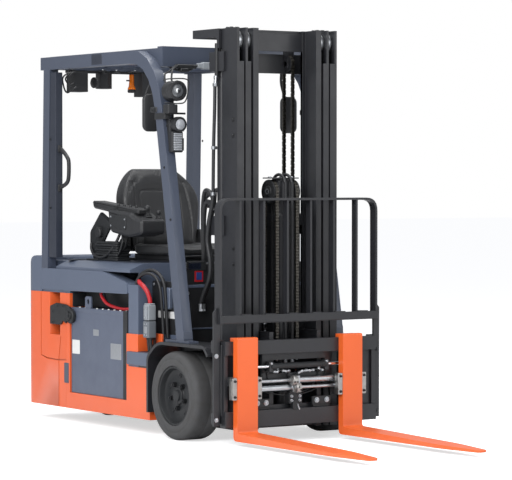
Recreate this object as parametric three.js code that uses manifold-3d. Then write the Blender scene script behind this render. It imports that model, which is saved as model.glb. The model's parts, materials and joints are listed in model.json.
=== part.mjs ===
// A three-wheel electric counterbalance forklift with a triple-stage mast, a side shifter
// with a fork positioner, and its overhead guard. Each mesh is one piece of the truck.
// Millimetres. x runs to the truck's left, y to its rear and z up. The drive axle is on y = 0
// and the floor on z = 0; the last lines move the origin to the middle of the footprint.

import * as THREE from 'three';
import { mergeVertices } from 'three/addons/utils/BufferGeometryUtils.js';
import Module from 'manifold-3d';

const wasm = await Module();
wasm.setup();

// ---------------------------------------------------------------- driving dimensions

const gap = 0.3; // between pieces that touch
const clear = 5; // between pieces that pass each other
const sides = [['right', -1], ['left', 1]]; // the truck's own right is at -x

const body = { half: 498, skirt: 80, wall: 16, tail: 225 };
const driveTyre = { radius: 228.5, width: 178, rim: 154, outerFace: body.half + 31 };
const steerTyre = { radius: 190, width: 114, rim: 96, apart: 40 };
const driveTop = 2 * driveTyre.radius;

const fender = { top: driveTop + 43, outer: body.half + 24, front: -324, sheet: 16, step: 430 };
fender.leg = driveTyre.radius + 29.5;
const post = { front: fender.leg + fender.sheet + 4, high: 350, inner: 400 };
const floorTop = fender.top - 10;
const framePlate = { inner: 322, outer: 342, top: floorTop - 20, low: 120 };
fender.inner = framePlate.outer + 1;

const bay = { front: fender.leg + 258, length: 611, floor: 168 }; // the battery's bay
bay.rear = bay.front + bay.length;
const battery = { half: body.half - 8, margin: 4, top: 634 };

// The steered wheels swing in an arch whose wall just opens the counterweight's front.
const wheelReach = Math.hypot(steerTyre.apart / 2 + steerTyre.width, steerTyre.radius);
const arch = { radius: wheelReach + 13.5, top: 2 * steerTyre.radius + 25, half: steerTyre.radius + 15 };
const weight = { front: bay.rear + 38, pocket: 69, corner: 80, opened: 11 };
const wheelbase = weight.front + arch.radius - weight.opened;
body.rear = wheelbase + body.tail;

const deck = { top: 890, front: bay.front - body.wall, rear: weight.front + 135 };
const beam = { high: deck.top - 47, low: deck.top - 167, front: bay.front - 7, thick: 66, rise: 761 };
weight.top = beam.low - 11;
const recess = { front: weight.front + 70, rear: weight.front + 184, depth: 98, low: 478 };
const rearCover = { front: weight.front + 278, top: deck.top + 22 };

const guard = { half: body.half + 2, width: 55, tube: 70, rear: weight.front + 285, top: 2030 };
guard.inner = guard.half - guard.width;
guard.beamAxis = guard.top - 49;
const frontPillar = {
  foot: [-28, fender.top + 12], knee: [135, 1438], bend: [190, 1716], roof: [450, guard.beamAxis],
};
const rearPillar = { base: weight.front + 243, top: weight.front + 214 };
const roof = { front: 235, beam: 50, beamLow: guard.top - 105, slats: 7, slat: 14, edge: 22 };

const mast = { top: 2108, bottom: 60, front: -268, rear: -126, flange: 18, web: 14 };
const outerRail = { outer: 309, inner: 267 };
const middleRail = { outer: 258, inner: 224 };
const innerRail = { outer: 211, inner: 178 };
const rollerNotch = mast.top - 171; // the two outer rails' front flanges end here
const roller = { radius: 49, fromTop: 62 };
const tie = { behind: mast.rear + clear, thick: 20 };
const topBeam = { low: mast.top - 43, arm: 22, outer: 325, rear: 130, thick: 25 };
const cylinder = { x: 276, y: -84, radius: 30, bore: 23, rod: 22.5, top: topBeam.low - 80 };
const outerTie = { arm: 12, front: -160, rear: -24, thick: 16 };
const mastFoot = 105; // the top of the plate that the lift cylinders stand on

const axle = { z: driveTyre.radius, radius: 45, motor: 110, motorHalf: 212 };
const saddle = { inner: 218, outer: 241, radius: 75 };
const tiltPin = { x: 200, mastY: -72, mastZ: 440, frameY: 400, frameZ: 370, radius: 12 };
const tiltBarrel = { radius: 36, length: 330, rod: 17, eye: 26, eyeHalf: 10, play: 1.4 };

const freeLift = { y: -205, radius: 42, bore: 27.6, rod: 27, low: 95, top: 1150, rodLow: 130 };
const sheave = { x: 62, z: 1275, radius: 62, pitch: 55, half: 13 };
const chain = { half: 9, thick: 10, lug: 12, mastAnchor: 590, carriageAnchor: 495 };

const carriage = { plateX: 135, plateThick: 24, low: 100, high: 560, rear: -150 };
const carriagePlate = { front: -356, rear: -336, half: 215, low: 300, top: 512 };
const shifter = { front: -401, rear: -361, half: 467, plate: 22, shift: -35.6 };
const upperBar = { low: 455, top: 512, hook: 524 };
const lowerBar = { low: 90, top: 172 };

const fork = { width: 122, thick: 40, reach: 1074, top: 544, low: 25, apart: 525.2, tip: 12 };
const positioner = { y: -378, upper: 315, lower: 277, barrel: 16, rod: 9, block: 45, barrelEnd: 205 };
const backrest = { half: 488, top: 1243, low: 612, front: -383, depth: 50, bar: 12, corner: 70 };
const uprights = [-360, -216, -72, 72, 216, 360]; // the middles of the backrest's inner bars
const backrestPost = { outer: 513, inner: 475, low: 100, top: 694, thick: 12, front: -365 };

const steering = { y: 290, z: 1250, radius: 150, grip: 13, lean: THREE.MathUtils.degToRad(25) };
const seat = { half: 240, front: 470, rear: 960, base: deck.top + 40, pad: 55, back: 473 };
seat.top = seat.base + seat.pad;
seat.backTop = seat.base + seat.back;

// ---------------------------------------------------------------- shapes

const turned = {
  // where a drawing's own axes and its depth point, for each direction of extrusion
  x: [new THREE.Vector3(0, 1, 0), new THREE.Vector3(0, 0, 1), new THREE.Vector3(1, 0, 0)],
  y: [new THREE.Vector3(1, 0, 0), new THREE.Vector3(0, 0, 1), new THREE.Vector3(0, -1, 0)],
  z: [new THREE.Vector3(1, 0, 0), new THREE.Vector3(0, 1, 0), new THREE.Vector3(0, 0, 1)],
};

// A closed geometry as a solid that can be cut and joined.
function solid(geometry) {
  geometry.deleteAttribute('normal');
  geometry.deleteAttribute('uv');
  const merged = mergeVertices(geometry, 1e-4);
  return new wasm.Manifold(new wasm.Mesh({
    numProp: 3,
    vertProperties: new Float32Array(merged.attributes.position.array),
    triVerts: new Uint32Array(merged.index.array),
  }));
}

function box(x0, x1, y0, y1, z0, z1) {
  const geometry = new THREE.BoxGeometry(x1 - x0, y1 - y0, z1 - z0);
  geometry.translate((x0 + x1) / 2, (y0 + y1) / 2, (z0 + z1) / 2);
  return solid(geometry);
}

// A box on one side of the truck: side is -1 or 1, a and b its distances from the middle.
function sideBox(side, a, b, y0, y1, z0, z1) {
  return box(Math.min(side * a, side * b), Math.max(side * a, side * b), y0, y1, z0, z1);
}

// A drawing pushed out along an axis, from one coordinate to another.
function prism(shape, axis, from, to) {
  const geometry = new THREE.ExtrudeGeometry(shape, {
    depth: to - from,
    bevelEnabled: false,
    curveSegments: 6,
  });
  geometry.applyMatrix4(new THREE.Matrix4().makeBasis(...turned[axis]));
  const start = axis === 'y' ? to : from;
  geometry.translate(...['x', 'y', 'z'].map((name) => (name === axis ? start : 0)));
  return solid(geometry);
}

function sidePrism(side, shape, a, b) {
  return prism(shape, 'x', Math.min(side * a, side * b), Math.max(side * a, side * b));
}

// A round bar between two points.
function rod(start, end, radius, segments = 20) {
  const from = new THREE.Vector3(...start);
  const to = new THREE.Vector3(...end);
  const along = to.clone().sub(from);
  const geometry = new THREE.CylinderGeometry(radius, radius, along.length(), segments);
  const up = new THREE.Vector3(0, 1, 0);
  geometry.applyQuaternion(new THREE.Quaternion().setFromUnitVectors(up, along.clone().normalize()));
  geometry.translate(...from.add(to).multiplyScalar(0.5).toArray());
  return solid(geometry);
}

// A round bar across the truck, between two distances from its middle on one side.
function barAcross(side, a, b, y, z, radius, segments) {
  return rod([side * a, y, z], [side * b, y, z], radius, segments);
}

function barUp(x, y, low, high, radius, segments) {
  return rod([x, y, low], [x, y, high], radius, segments);
}

// A solid of revolution about a line along x: the profile is [distance along x, radius] pairs.
function wheel(profile, x, y, z, segments = 36) {
  const points = profile.map(([along, radius]) => new THREE.Vector2(radius, along));
  const geometry = new THREE.LatheGeometry(points, segments);
  geometry.rotateZ(-Math.PI / 2);
  geometry.translate(x, y, z);
  return solid(geometry);
}

function join(first, ...rest) {
  return rest.reduce((whole, piece) => whole.add(piece), first);
}

function cut(first, ...rest) {
  return rest.reduce((whole, piece) => whole.subtract(piece), first);
}

// A closed outline of straight lines; a point's third number rounds its corner.
function outline(points) {
  const shape = new THREE.Shape();
  points.forEach(([u, v, radius = 0], index) => {
    const here = new THREE.Vector2(u, v);
    const before = new THREE.Vector2(...points[(index + points.length - 1) % points.length]);
    const after = new THREE.Vector2(...points[(index + 1) % points.length]);
    const enter = here.clone().add(before.sub(here).setLength(radius));
    const leave = here.clone().add(after.sub(here).setLength(radius));
    if (index === 0) shape.moveTo(enter.x, enter.y);
    else shape.lineTo(enter.x, enter.y);
    if (radius > 0) shape.quadraticCurveTo(u, v, leave.x, leave.y);
  });
  return shape;
}

// The outline of a bar of even thickness that follows a curve.
function ribbon(curve, thick, steps) {
  const near = [];
  const far = [];
  for (let index = 0; index <= steps; index += 1) {
    const point = curve.getPoint(index / steps);
    const along = curve.getTangent(index / steps);
    const across = new THREE.Vector2(-along.y, along.x).multiplyScalar(thick / 2);
    near.push(point.clone().add(across));
    far.unshift(point.clone().sub(across));
  }
  return new THREE.Shape([...near, ...far]);
}

// ---------------------------------------------------------------- finishes

function finish(color, roughness, metalness) {
  return () => new THREE.MeshStandardMaterial({ color, roughness, metalness });
}

const orangePaint = finish(0xe9622c, 0.45, 0.1);
const greyPaint = finish(0x5f6675, 0.45, 0.1);
const mastPaint = finish(0x2f3033, 0.5, 0.2);
const steel = finish(0xb9bcc0, 0.3, 0.9);
const castDark = finish(0x3b3d40, 0.6, 0.4);
const rubber = finish(0x45453f, 0.9, 0);
const plastic = finish(0x1f2022, 0.6, 0);
const vinyl = finish(0x18191b, 0.55, 0);
const connectorGrey = finish(0x8d9196, 0.6, 0);
const amber = finish(0xf08a1c, 0.3, 0);
const lampGlass = finish(0xd9dde0, 0.15, 0.1);

const truck = new THREE.Group();

function addPiece(name, shape, material) {
  const { vertProperties, triVerts } = shape.getMesh();
  const geometry = new THREE.BufferGeometry();
  geometry.setAttribute('position', new THREE.BufferAttribute(vertProperties, 3));
  geometry.setIndex(new THREE.BufferAttribute(triVerts, 1));
  const mesh = new THREE.Mesh(geometry, material());
  mesh.name = name;
  truck.add(mesh);
}

// ---------------------------------------------------------------- chassis

// The welded frame: a tray under the battery, its end walls, the front posts, and the two
// plates inside the drive wheels that carry the axle and the floor.
function frameBody() {
  const tray = box(-body.half, body.half, post.front, weight.front - gap, body.skirt, bay.floor);
  const wall = (front, rear, top) => box(-body.half, body.half, front, rear, bay.floor, top);
  const frontWall = wall(bay.front - body.wall, bay.front, framePlate.top);
  const rearWall = wall(bay.rear, weight.front - gap, weight.top);
  const reach = framePlate.inner + 1;
  const crossFront = tiltPin.frameY + 50;
  const crossPlate = box(-reach, reach, crossFront, crossFront + 20, bay.floor, framePlate.top);
  let frame = join(tray, frontWall, rearWall, crossPlate);
  for (const [, side] of sides) {
    const plate = outline([[-150, 200], [-150, framePlate.top], [bay.front - 1, framePlate.top],
      [bay.front - 1, framePlate.low], [-60, framePlate.low]]);
    const axleHole = barAcross(side, 250, 400, 0, axle.z, axle.radius + gap, 32);
    const frontPost = sideBox(side, post.inner, body.half, post.front, bay.front, bay.floor, post.high);
    const pinLug = sideBox(side, tiltPin.x + tiltBarrel.eyeHalf + 2, reach,
      tiltPin.frameY - 30, tiltPin.frameY + 60, tiltPin.frameZ - 30, tiltPin.frameZ + 30);
    frame = join(frame, cut(sidePrism(side, plate, framePlate.inner, framePlate.outer), axleHole));
    frame = join(frame, frontPost, pinLug);
  }
  return frame;
}

// The cast counterweight: rounded rear corners, an arch for the steered wheels that breaks out
// at the rear, a bearing pocket above it and a recess on each side.
function counterweight() {
  const plan = outline([[-body.half, weight.front], [body.half, weight.front],
    [body.half, body.rear, weight.corner], [-body.half, body.rear, weight.corner]]);
  const block = prism(plan, 'z', body.skirt, weight.top);
  const wheelSpace = barUp(0, wheelbase, 0, arch.top, arch.radius, 48);
  const mouth = box(-arch.half, arch.half, wheelbase, body.rear + 50, 0, arch.top);
  const pocket = barUp(0, wheelbase, arch.top - 1, arch.top + 80, weight.pocket + gap, 32);
  let shape = cut(block, wheelSpace, mouth, pocket);
  for (const [, side] of sides) {
    shape = cut(shape, sideBox(side, body.half - recess.depth, body.half + 1, recess.front, recess.rear,
      recess.low, weight.top + 1));
  }
  return shape;
}

// The rounded cover over the counterweight, with a ledge in front for the rear pillars.
function rearCoverShape() {
  const profile = outline([[rearCover.front, weight.top + gap], [rearCover.front, rearCover.top, 30],
    [body.rear - 30, rearCover.top, 90], [body.rear - 4, weight.top + gap]]);
  const plan = outline([[-body.half, rearCover.front - 1], [body.half, rearCover.front - 1],
    [body.half, body.rear, weight.corner], [-body.half, body.rear, weight.corner]]);
  const hump = prism(profile, 'x', -body.half, body.half)
    .intersect(prism(plan, 'z', weight.top, rearCover.top + 1));
  const ledgeHalf = body.half - beam.thick - gap;
  const ledge = box(-ledgeHalf, ledgeHalf, deck.rear + clear, rearCover.front + 1,
    weight.top + gap, deck.top - 4);
  return join(hump, ledge);
}

// One side's beam above the battery, with the leg that stands in front of the battery.
function sideBeam(side) {
  const rear = rearCover.front - gap;
  const outer = body.half - 4;
  const flat = outline([[rear, beam.low, 12], [rear, beam.high, 8], [beam.rise, beam.high, 60],
    [beam.front, beam.high - 52, 20], [beam.front, beam.low + 8, 10]]);
  const shell = sidePrism(side, flat, body.half - beam.thick, body.half);
  const legFront = deck.front - 100;
  const legTop = beam.high - 62;
  const leg = sideBox(side, body.half - 58, outer, legFront, deck.front - gap, post.high + gap, legTop);
  const head = sideBox(side, body.half - 58, outer, legFront, beam.front + 40, beam.low + 12, legTop);
  const heel = sideBox(side, body.half - 60, body.half - 6, bay.rear + 8, rearCover.front - 2,
    weight.top + gap, beam.low + 8);
  return join(shell, leg, head, heel);
}

function batteryCase() {
  const length = [bay.front + battery.margin, bay.rear - battery.margin];
  return box(-battery.half, battery.half, ...length, bay.floor + gap, battery.top);
}

// The plate that swings across the battery's end to keep it in.
function batteryStopper(side) {
  const at = (y, z, radius) => [bay.rear + y, battery.top + z, radius];
  const plate = outline([at(23, -89, 8), at(23, -74), at(-26, -74, 20), at(-26, 2, 20), at(33, 16),
    at(131, 21), at(203, 2, 6), at(203, -98, 6), at(88, -98, 6), at(58, -74, 10)]);
  const pivot = [bay.rear + 8, battery.top - 38];
  const face = side * (body.half + gap);
  return join(
    sidePrism(side, plate, body.half + gap, body.half + 12),
    rod([face, ...pivot], [face + side * (18 - gap), ...pivot], 22, 24),
  );
}

// A fender over one drive wheel, its leg behind the tyre and the step that follows it.
function fenderShape(side) {
  const { top, front, leg, sheet, step, inner, outer } = fender;
  const foot = 125;
  const arc = outline([[front, top - 48, 6], [front + 38, top, 20], [leg - 86, top, 60],
    [leg + sheet, top - 80, 30], [leg + sheet, foot], [leg, foot], [leg, top - 88, 30],
    [leg - 93, top - sheet, 50], [front + 46, top - sheet, 16], [front + 12, top - 56, 4]]);
  const tread = sideBox(side, inner, body.half, leg + sheet - 1, deck.front - 103 - clear,
    post.high + gap, step);
  const innerWall = sideBox(side, framePlate.outer + gap, inner + 3, -150, leg + 4, top - 100, top - 2);
  return join(sidePrism(side, arc, inner, outer), tread, innerWall);
}

const cowl = { front: 80, rear: 118, top: 880 };

function floorPlate() {
  const { outer, top } = framePlate;
  return box(-outer, outer, cowl.rear + gap, bay.front - 1, top + gap, floorTop);
}

// The cowl in front of the driver, with the instrument shelf.
function dashPanel() {
  const { front, rear, top } = cowl;
  const wall = (half, low, high) => box(-half, half, front, rear, low, high);
  const lowWall = wall(framePlate.outer, framePlate.top + gap, fender.top + 60);
  const highWall = wall(guard.inner - 9, fender.top + gap, top);
  const shelf = prism(outline([[front, top - 60], [front, top + 20, 10], [front + 135, top + 20, 20],
    [front + 135, top - 10, 10], [rear - 1, top - 80]]), 'x', -350, 350);
  return join(lowWall, highWall, shelf);
}

// The steering column leans back from the shelf to the hub of the steering wheel.
const wheelNormal = new THREE.Vector3(0, Math.sin(steering.lean), Math.cos(steering.lean));
const wheelCentre = new THREE.Vector3(0, steering.y, steering.z);

function along(distance) {
  return wheelCentre.clone().addScaledVector(wheelNormal, distance).toArray();
}

function steeringColumn() {
  const tube = rod(along(-20 - gap), along(-420), 36);
  const shroud = rod(along(-60), along(-190), 58);
  return cut(join(tube, shroud), box(-200, 200, -200, 400, floorTop, cowl.top + 20 + gap));
}

// The drive axle: both motors, their housings and the trunnions that carry frame and mast.
function driveAxle() {
  const half = driveTyre.outerFace - driveTyre.width + 8 - gap;
  return join(
    rod([-half, 0, axle.z], [half, 0, axle.z], axle.radius, 32),
    rod([-axle.motorHalf, 0, axle.z], [axle.motorHalf, 0, axle.z], axle.motor, 36),
  );
}

// The grey plug pair on the battery's cable, on its holder.
function batteryConnector() {
  const front = bay.front - 198;
  const { step } = fender;
  const plug = box(10 - body.half, 58 - body.half, front, front + 70, step + 70, step + 279);
  const holder = box(6 - body.half, 66 - body.half, front - 6, front + 68, step + gap, step + 76);
  return join(plug, holder);
}

// The lamps on a front pillar: a round work lamp, a marker and a turn signal on one bracket.
function frontLamps(side) {
  const face = guard.inner - gap;
  const bracket = sideBox(side, guard.inner - 17, face, 150, 210, 1480, 1840);
  const lampX = side * (guard.inner + 5);
  const headlight = rod([lampX, 70, 1793], [lampX, 152, 1793], 52, 32);
  const headArm = sideBox(side, guard.inner - 17, face, 140, 200, 1745, 1840);
  const marker = sideBox(side, guard.inner - 45, guard.inner - 5, 96, 152, 1585, 1655);
  const signal = sideBox(side, guard.inner - 47, guard.inner - 5, 100, 152, 1486, 1550);
  return cut(join(bracket, headlight, headArm, marker, signal), guardTube(side, gap));
}

function mirror(side) {
  const x = guard.inner - 45;
  const glass = new THREE.SphereGeometry(1, 16, 10);
  glass.scale(58, 22, 104);
  glass.translate(side * x, 372, 1690);
  const arm = rod([side * x, 372, 1780], [side * (x + 36), 372, 1915], 8, 12);
  const foot = sideBox(side, x + 28, guard.inner - gap, 355, 390, 1905, 1945);
  return join(solid(glass), arm, foot);
}

// ---------------------------------------------------------------- overhead guard

// The tube that is front pillar and roof beam in one: straight, bent, straight.
function guardTube(side, extra = 0) {
  const path = new THREE.CurvePath();
  const [foot, knee, bend, level] = ['foot', 'knee', 'bend', 'roof']
    .map((name) => new THREE.Vector2(...frontPillar[name]));
  const lean = bend.clone().sub(knee).normalize();
  const reach = (level.y - bend.y) / lean.y;
  const corner = bend.clone().addScaledVector(lean, reach);
  const between = (from, to, share) => from.clone().lerp(to, share);
  const rise = [foot, between(foot, knee, 0.5), between(knee, foot, 0.2), bend];
  const turn = [bend, between(bend, corner, 0.6), between(level, corner, 0.6), level];
  path.add(new THREE.CubicBezierCurve(...rise));
  path.add(new THREE.CubicBezierCurve(...turn));
  path.add(new THREE.LineCurve(level, new THREE.Vector2(guard.rear, guard.beamAxis)));
  const bar = ribbon(path, guard.tube + 2 * extra, 30);
  return sidePrism(side, bar, guard.inner - extra, guard.half + extra);
}

function guardSide(side) {
  const { base, top } = rearPillar;
  const half = guard.tube / 2;
  const pillar = outline([[base - half, beam.high + gap], [base + half, beam.high + gap],
    [top + half, guard.beamAxis], [top - half, guard.beamAxis]]);
  const footPlate = sideBox(side, guard.inner - 4, guard.half, -110, 120,
    fender.top + gap, fender.top + 12);
  const stub = outline([[-62, fender.top + 6], [8, fender.top + 6], [20, fender.top + 60],
    [-58, fender.top + 60]]);
  return join(guardTube(side), sidePrism(side, pillar, guard.inner, guard.half), footPlate,
    sidePrism(side, stub, guard.inner, guard.half));
}

// The roof: a deep front beam, a rear beam and a middle bar, with slats along the truck on them.
function guardRoof() {
  const half = guard.inner - gap;
  const { top, rear } = guard;
  const [slatFront, slatRear] = [roof.front + 10, rear - 10];
  const frontBeam = box(-half, half, roof.front, roof.front + roof.beam, roof.beamLow, top);
  const rearBeam = box(-half, half, rear - roof.beam, rear, top - 80, top - 20);
  const middleBar = box(-half, half, 840, 870, top - 68, top - 30);
  let shape = join(frontBeam, rearBeam, middleBar);
  for (const [, side] of sides) {
    shape = join(shape, sideBox(side, half - roof.edge, half, slatFront, slatRear, top - 75, top - 8));
  }
  const pitch = (2 * (half - roof.edge)) / (roof.slats + 1);
  for (let index = 1; index <= roof.slats; index += 1) {
    const x = -half + roof.edge + index * pitch;
    const [left, right] = [x - roof.slat / 2, x + roof.slat / 2];
    shape = join(shape, box(left, right, slatFront, slatRear, top - 58, top - 8));
  }
  return shape;
}

// What hangs from the rear beam: a plate with two control boxes and a six-sided sounder.
const hanger = { low: guard.top - 94, top: guard.top - 80 - gap };

function roofModule() {
  const { rear } = guard;
  const boxTop = hanger.low + 4;
  const plate = box(-345, 190, rear - 48, rear - 4, hanger.low, hanger.top);
  const left = box(100, 185, rear - 100, rear - 10, boxTop - 132, boxTop);
  const right = box(-340, -252, rear - 100, rear - 10, boxTop - 112, boxTop);
  const sounder = barUp(-110, rear - 30, boxTop - 90, boxTop, 46, 6);
  return join(plate, left, right, sounder);
}

function beaconShape() {
  const y = guard.rear - 32;
  const top = hanger.low - gap;
  return join(
    barUp(58, y, hanger.low - 86, hanger.low - 16, 34, 28),
    barUp(58, y, hanger.low - 18, top, 38, 28),
  );
}

function grabHandle() {
  const x = 33 - guard.inner;
  const y = rearPillar.base - 108;
  const bar = barUp(x, y, 1300, 1500, 13, 16);
  const lug = (z) => box(gap - guard.inner, x + 7, y - 6, y + 79, z - 9, z + 9);
  return join(bar, lug(1312), lug(1488));
}

// ---------------------------------------------------------------- hood and seat

// The battery hood: a pan with sloped sides and the apron in front of the battery.
function hood() {
  const half = body.half - 13;
  const shoulder = body.half - 93;
  const pan = (inset, low, high) => prism(outline([[-half + inset, low], [half - inset, low],
    [half - inset, low + 14 - inset / 2], [shoulder - inset, high, 14], [-shoulder + inset, high, 14],
    [-half + inset, low + 14 - inset / 2]]), 'y', deck.front + inset, deck.rear - inset);
  const low = beam.high + gap;
  const sheet = 8;
  const shell = cut(pan(0, low, deck.top), pan(sheet, low - 20, deck.top - sheet));
  const apronHalf = body.half - 73;
  const apron = box(-apronHalf, apronHalf, deck.front, deck.front + 14, floorTop + 12, deck.top - 10);
  return join(shell, apron);
}

function seatBase() {
  const slide = deck.top + 16;
  return join(
    box(-190, 190, seat.front + 90, seat.rear + 50, deck.top + gap, slide),
    box(-170, 170, seat.front + 120, seat.rear + 20, slide - 1, seat.base - gap),
  );
}

function seatCushion() {
  const side = outline([[seat.front, seat.base + 4, 20], [seat.front - 6, seat.top, 30],
    [seat.rear - 12, seat.top - 20, 10], [seat.rear - 12, seat.base, 10]]);
  const plan = outline([[-seat.half, seat.front - 10, 70], [seat.half, seat.front - 10, 70],
    [seat.half, seat.rear, 20], [-seat.half, seat.rear, 20]]);
  return prism(side, 'x', -seat.half, seat.half).intersect(prism(plan, 'z', seat.base, seat.top + 20));
}

function seatBack() {
  const { rear, base, backTop } = seat;
  const side = outline([[rear - 8, base], [rear + 60, base + 400, 60], [rear + 110, backTop, 25],
    [rear + 190, backTop - 6, 30], [rear + 130, base, 20]]);
  const face = outline([[-225, base - 1, 30], [225, base - 1, 30], [235, base + 260, 60],
    [150, backTop + 1, 70], [-150, backTop + 1, 70], [-235, base + 260, 60]]);
  return prism(side, 'x', -seat.half, seat.half).intersect(prism(face, 'y', rear - 20, rear + 220));
}

// The armrest on the right of the seat: its pad, the pod with the finger levers and its bracket.
function armrest() {
  const at = (y, z, radius) => [y, deck.top + z, radius];
  const pad = outline([at(1110, 282, 20), at(1110, 336, 20), at(760, 260, 20), at(520, 238, 20),
    at(470, 200, 20), at(500, 150, 20), at(640, 140, 30), at(760, 200, 30)]);
  const bracket = outline([at(1000, 260), at(1060, 278), at(1215, 100), at(1215, 50, 10), at(1160, 15, 10),
    at(1110, 15), at(1110, 70)]);
  const foot = box(-392, -196, 1100, 1160, deck.top + gap, deck.top + 22);
  return join(prism(pad, 'x', -372, -286), prism(bracket, 'x', -392, -352), foot);
}

// ---------------------------------------------------------------- steering and wheels

// Rim, hub and three spokes, in the tilted plane of the steering wheel.
function steeringWheel() {
  const rim = new THREE.TorusGeometry(steering.radius - steering.grip, steering.grip, 8, 28);
  const frame = new THREE.Quaternion().setFromUnitVectors(new THREE.Vector3(0, 0, 1), wheelNormal);
  rim.applyQuaternion(frame);
  rim.translate(...wheelCentre.toArray());
  let shape = join(solid(rim), rod(along(-20), along(18), 34));
  for (const turn of [90, 210, 330]) {
    const angle = THREE.MathUtils.degToRad(turn);
    const outward = new THREE.Vector3(Math.cos(angle), Math.sin(angle), 0);
    const tip = outward.multiplyScalar(steering.radius - 12).applyQuaternion(frame).add(wheelCentre);
    shape = join(shape, rod(along(0), tip.toArray(), 8, 12));
  }
  return shape;
}

// A solid rubber tyre with rounded shoulders.
function tyre(size, x, y) {
  const half = size.width / 2;
  const profile = [[-half, size.rim], [half, size.rim], [half, size.radius - 24],
    [half - 5, size.radius - 12], [half - 18, size.radius], [18 - half, size.radius],
    [5 - half, size.radius - 12], [-half, size.radius - 24], [-half, size.rim]];
  return wheel(profile.reverse(), x, y, size.radius);
}

// The drive wheel's rim: a dished disc with a hub.
function driveRim(side) {
  const half = driveTyre.width / 2;
  const centre = side * (driveTyre.outerFace - half);
  const drumHalf = half - 8;
  const drumRadius = driveTyre.rim - gap;
  const drum = rod([centre - drumHalf, 0, axle.z], [centre + drumHalf, 0, axle.z], drumRadius, 36);
  const face = centre + side * (half - 7);
  const dish = rod([face, 0, axle.z], [centre + side * 44, 0, axle.z], drumRadius - 16, 36);
  const hub = rod([centre, 0, axle.z], [centre + side * 70, 0, axle.z], 36, 24);
  return join(cut(drum, dish), hub);
}

function steerYoke() {
  const axisZ = steerTyre.radius;
  const neck = box(-14, 14, wheelbase - 60, wheelbase + 60, axisZ, arch.top - 6);
  const eye = rod([-14, wheelbase, axisZ], [14, wheelbase, axisZ], 60, 32);
  const plate = barUp(0, wheelbase, arch.top - 16, arch.top - gap, 110, 40);
  const bearing = barUp(0, wheelbase, arch.top - 8, arch.top + 74, weight.pocket - gap, 32);
  const hole = rod([-20, wheelbase, axisZ], [20, wheelbase, axisZ], 22 + gap, 28);
  return cut(join(neck, eye, plate, bearing), hole);
}

function steerHub() {
  const axisZ = steerTyre.radius;
  const outer = steerTyre.apart / 2 + steerTyre.width;
  const shaft = rod([-outer, wheelbase, axisZ], [outer, wheelbase, axisZ], 22, 28);
  const inner = steerTyre.apart / 2 + 2;
  const drumRadius = steerTyre.rim - gap;
  const drum = (side) => barAcross(side, inner, outer - 8, wheelbase, axisZ, drumRadius, 36);
  return join(shaft, drum(-1), drum(1));
}

// ---------------------------------------------------------------- mast

// One channel rail, open towards the middle of the truck. Where the next rail in runs beside it,
// its front flange ends low and shows the roller that the next rail runs on.
function rail(side, size, next) {
  const { front, rear, bottom, top, flange, web } = mast;
  const block = sideBox(side, size.inner, size.outer, front, rear, bottom, top);
  const hollow = sideBox(side, size.inner - 1, size.outer - web, front + flange, rear - flange,
    bottom - 1, top + 1);
  if (!next) return cut(block, hollow);
  const notch = sideBox(side, size.inner - 1, size.outer - web, front - 1, front + flange + 1,
    rollerNotch, top + 1);
  const middleY = (front + rear) / 2;
  const wheelZ = top - roller.fromTop;
  const guide = barAcross(side, next.outer + gap, size.outer - web + 1, middleY, wheelZ, roller.radius, 20);
  return join(cut(block, hollow, notch), guide);
}

// The outer mast: rails, the foot plate under the cylinders, the saddles on the axle, the ties
// that pass behind the cylinders, and the lugs of the tilt cylinders.
function outerMast() {
  const { outer } = outerRail;
  const foot = box(-outer, outer, mast.rear - 2, cylinder.y + 40, mast.bottom, mastFoot);
  const lowTie = box(-outer, outer, mast.rear - 1, mast.rear + 21, 345, 480);
  const passage = box(-middleRail.outer - 5, middleRail.outer + 5, mast.front, tie.behind, 0, mast.top);
  const cylinderSpace = (side) => barUp(side * cylinder.x, cylinder.y, mastFoot, 500, cylinder.radius + 2);
  let shape = cut(join(foot, lowTie), passage, cylinderSpace(-1), cylinderSpace(1));
  for (const [, side] of sides) {
    const at = (y, z, radius) => [y, axle.z + z, radius];
    const saddlePlate = outline([[tie.behind, mastFoot - 5], at(tie.behind, 121.5), at(-100, 121.5),
      at(20, 74.5, 16), at(saddle.radius, 51.5, 32), at(saddle.radius, -58.5, 32), at(10, -78.5, 24),
      [-60, mastFoot - 5]]);
    const axleHole = barAcross(side, 200, 260, 0, axle.z, axle.radius + gap, 32);
    const { x, mastY, mastZ } = tiltPin;
    const lug = (a, b) => sideBox(side, a, b, tie.behind + 1, mastY + 18, mastZ - 28, mastZ + 28);
    const pin = barAcross(side, x - 28, x + 28, mastY, mastZ, tiltPin.radius, 20);
    shape = join(shape, rail(side, outerRail, middleRail),
      cut(sidePrism(side, saddlePlate, saddle.inner, saddle.outer), axleHole),
      lug(x - 29, x - 18), lug(x + 18, x + 29), pin);
    for (const low of [1050, mast.top - 218]) {
      const high = low + 100;
      const { front, rear, thick } = outerTie;
      const reach = outer + outerTie.arm;
      shape = join(shape, sideBox(side, outer - 1, reach, front, rear, low, high),
        sideBox(side, 0, reach, rear - thick, rear, low, high));
    }
  }
  return shape;
}

function liftCylinder(side) {
  const { x, y, radius, bore, top } = cylinder;
  const low = mastFoot + gap;
  return cut(barUp(side * x, y, low, top, radius, 32),
    barUp(side * x, y, low + 30, top + 1, bore, 28));
}

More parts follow.
